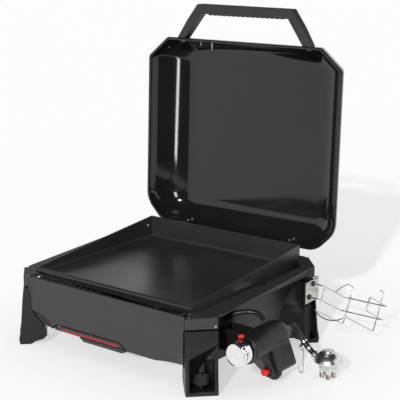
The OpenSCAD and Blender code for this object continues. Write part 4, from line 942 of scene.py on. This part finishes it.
# The hoop: its near side, width, how far it comes forward, hangs down, sags and rises
HOOP_X, HOOP_W, HOOP_FRONT, HOOP_DOWN, HOOP_SAG, HOOP_UP = 43, 79, 35.5, 61.5, 15, 29
HOOP_BACK = RAIL_BACK + 3
ARC_R = ((HOOP_W / 2) ** 2 + HOOP_SAG ** 2) / (2 * HOOP_SAG)
ARC_HALF = math.asin(HOOP_W / 2 / ARC_R)
arc = []
for k in range(15):
    a = (-0.84 + 0.12 * k) * ARC_HALF
    arc.append(cradle(
        HOOP_X + HOOP_W / 2 + ARC_R * math.sin(a),
        -HOOP_FRONT,
        HOOP_DOWN + HOOP_SAG - ARC_R * (1 - math.cos(a)),
    ))
hoop = bends([
    cradle(RAIL_OUT + 2.9, HOOP_BACK - 53, 0),
    cradle(RAIL_OUT + 8, HOOP_BACK - 45, -14),
    cradle(HOOP_X - 1, HOOP_BACK - 26, -HOOP_UP),
    cradle(HOOP_X, HOOP_BACK, -HOOP_UP + 2),
    cradle(HOOP_X, HOOP_BACK, HOOP_DOWN),
    cradle(HOOP_X, -HOOP_FRONT, HOOP_DOWN),
    *arc,
    cradle(HOOP_X + HOOP_W, -HOOP_FRONT, HOOP_DOWN),
    cradle(HOOP_X + HOOP_W, HOOP_BACK, HOOP_DOWN),
    cradle(HOOP_X + HOOP_W, HOOP_BACK, -HOOP_UP - 2),
    cradle(HOOP_X + HOOP_W - 2, HOOP_BACK - 14, -HOOP_UP - 3),
], 4)
tube("v_cradle_hoop", [P(*p) for p in hoop], WIRE_R, "wire_steel", "base", "cradle_hoop")
# The match holder: the middle of its eye, the eye's radius and the wire's
MATCH_X, MATCH_Y, EYE_R, MATCH_R = 362.25, 9.0, 5.7, 0.0011
MATCH_Z = 66.7 - EYE_R
eye = [P(MATCH_X + EYE_R * math.cos(a), MATCH_Y, MATCH_Z + EYE_R * math.sin(a)) for a in circle(32)]
tube("v_match_ring", eye, MATCH_R, "wire_steel", "match_holder", "match_holder", closed=True)
stem = bends([
    (MATCH_X + EYE_R * 0.7, MATCH_Y, MATCH_Z - EYE_R * 0.7), (MATCH_X + 5, MATCH_Y, MATCH_Z - 14),
    (MATCH_X + 4.5, MATCH_Y, 3.5), (MATCH_X - 4.5, MATCH_Y, 3.5), (MATCH_X - 7.5, MATCH_Y, 14),
], 2)
tube("v_match_stem", [P(*p) for p in stem], MATCH_R, "wire_steel", "match_holder")

# Floor and light


def ray_kind(tree):
    """1 for rays from the camera, a mirror or a glass, which see the white background."""
    path = tree.nodes.new("ShaderNodeLightPath")
    share = path.outputs["Is Camera Ray"]
    for kind in ("Is Glossy Ray", "Is Transmission Ray"):
        either = tree.nodes.new("ShaderNodeMath")
        either.operation = "MAXIMUM"
        link(tree, share, either.inputs[0])
        link(tree, path.outputs[kind], either.inputs[1])
        share = either.outputs["Value"]
    return share


def blend(tree, share, base, bright, out):
    """Shows the bright shader by the share, and the base shader for the rest."""
    mix = tree.nodes.new("ShaderNodeMixShader")
    link(tree, share, mix.inputs["Fac"])
    link(tree, base, mix.inputs[1])
    link(tree, bright, mix.inputs[2])
    link(tree, mix.outputs["Shader"], out.inputs["Surface"])


FLOOR_HALF = 60  # metres
# How much of the floor is pure white to such rays; the rest is paper, which takes the shadow
FLOOR_WHITE = 0.56
corners = [(-FLOOR_HALF, -FLOOR_HALF, 0), (FLOOR_HALF, -FLOOR_HALF, 0),
           (FLOOR_HALF, FLOOR_HALF, 0), (-FLOOR_HALF, FLOOR_HALF, 0)]
floor_mesh = bpy.data.meshes.new("floor")
floor_mesh.from_pydata(corners, [], [(0, 1, 2, 3)])
floor = bpy.data.objects.new("floor", floor_mesh)
bpy.context.scene.collection.objects.link(floor)
floor_paper = bpy.data.materials.new("floor_paper")
tree = empty_tree(floor_paper)
paper = tree.nodes.new("ShaderNodeBsdfDiffuse")
paper.inputs["Color"].default_value = (0.98, 0.98, 0.98, 1)
glow = tree.nodes.new("ShaderNodeEmission")
glow.inputs["Color"].default_value = (1, 1, 1, 1)
glow.inputs["Strength"].default_value = 1.0
white_share = tree.nodes.new("ShaderNodeMath")
white_share.operation = "MULTIPLY"
white_share.inputs[1].default_value = FLOOR_WHITE
link(tree, ray_kind(tree), white_share.inputs[0])
blend(
    tree, white_share.outputs["Value"], paper.outputs["BSDF"], glow.outputs["Emission"],
    tree.nodes.new("ShaderNodeOutputMaterial"),
)
floor_mesh.materials.append(floor_paper)

world = bpy.data.worlds.new("studio")
bpy.context.scene.world = world
tree = empty_tree(world)
SOFT_LIGHT = 0.65


def background(strength):
    node = tree.nodes.new("ShaderNodeBackground")
    node.inputs["Color"].default_value = (1, 1, 1, 1)
    node.inputs["Strength"].default_value = strength
    return node.outputs["Background"]


blend(
    tree, ray_kind(tree), background(SOFT_LIGHT), background(1.0),
    tree.nodes.new("ShaderNodeOutputWorld"),
)

# The key light, which throws the soft shadow to the rear
SUN_WAY = Vector((-0.7, 2.0, -1.0))
sun_data = bpy.data.lights.new("key", "SUN")
sun_data.energy = 2.3
sun_data.angle = math.radians(2.5)
sun = bpy.data.objects.new("key", sun_data)
sun.rotation_euler = SUN_WAY.to_track_quat("-Z", "Y").to_euler()
bpy.context.scene.collection.objects.link(sun)


def card(name, rows, strength):
    """A studio card that only reflections see: black to shape them, or a lit strip."""
    bm = bmesh.new()
    vs = [[bm.verts.new(q) for q in row] for row in rows]
    for a, b in zip(vs, vs[1:]):
        for k in range(len(a) - 1):
            bm.faces.new((a[k], a[k + 1], b[k + 1], b[k]))
    mesh = bpy.data.meshes.new(name)
    bm.to_mesh(mesh)
    bm.free()
    o = bpy.data.objects.new(name, mesh)
    bpy.context.scene.collection.objects.link(o)
    material = bpy.data.materials.new(name)
    tree = empty_tree(material)
    out = tree.nodes.new("ShaderNodeOutputMaterial")
    glow = tree.nodes.new("ShaderNodeEmission")
    glow.inputs["Strength"].default_value = strength
    link(tree, glow.outputs["Emission"], out.inputs["Surface"])
    mesh.materials.append(material)
    o.visible_camera = False
    o.visible_diffuse = False
    o.visible_shadow = False
    o.visible_transmission = False
    o.visible_volume_scatter = False


CARD_AWAY, CARD_MIDDLE = 1.5, 0.2  # metres from the part's middle, and that middle's height
DARK, LIT = 0.02, 17.0


def around(az, el):
    """A point on the cards' sphere: degrees right of the front, degrees up."""
    a, e = math.radians(az), math.radians(el)
    flat = CARD_AWAY * math.cos(e)
    return Vector((flat * math.sin(a), -flat * math.cos(a), CARD_MIDDLE + CARD_AWAY * math.sin(e)))


def dark_card(name, azimuths, elevations):
    card(name, [[around(az, el) for az in azimuths] for el in elevations], DARK)


dark_card("card_front", range(-18, 83, 5), (-7.5, 10, 25, 40, 60, 80))
dark_card("card_left", range(-128, -17, 5), (19, 40, 60, 80))
dark_card("card_top", range(82, 233, 5), (35, 60, 80))
# The upright strip that the lid reflects as its highlight, leaning so that the highlight is plumb
STRIP_X, STRIP_Y, STRIP_LEAN, STRIP_HALF = 0.63, -1.2, -0.2, 0.1
strip = [[Vector((STRIP_X + dx + STRIP_LEAN * z, STRIP_Y, z)) for dx in (-STRIP_HALF, STRIP_HALF)]
         for z in (0.1, 0.62)]
card("lit_strip", strip, LIT)

bpy.context.scene.view_settings.view_transform = "Standard"
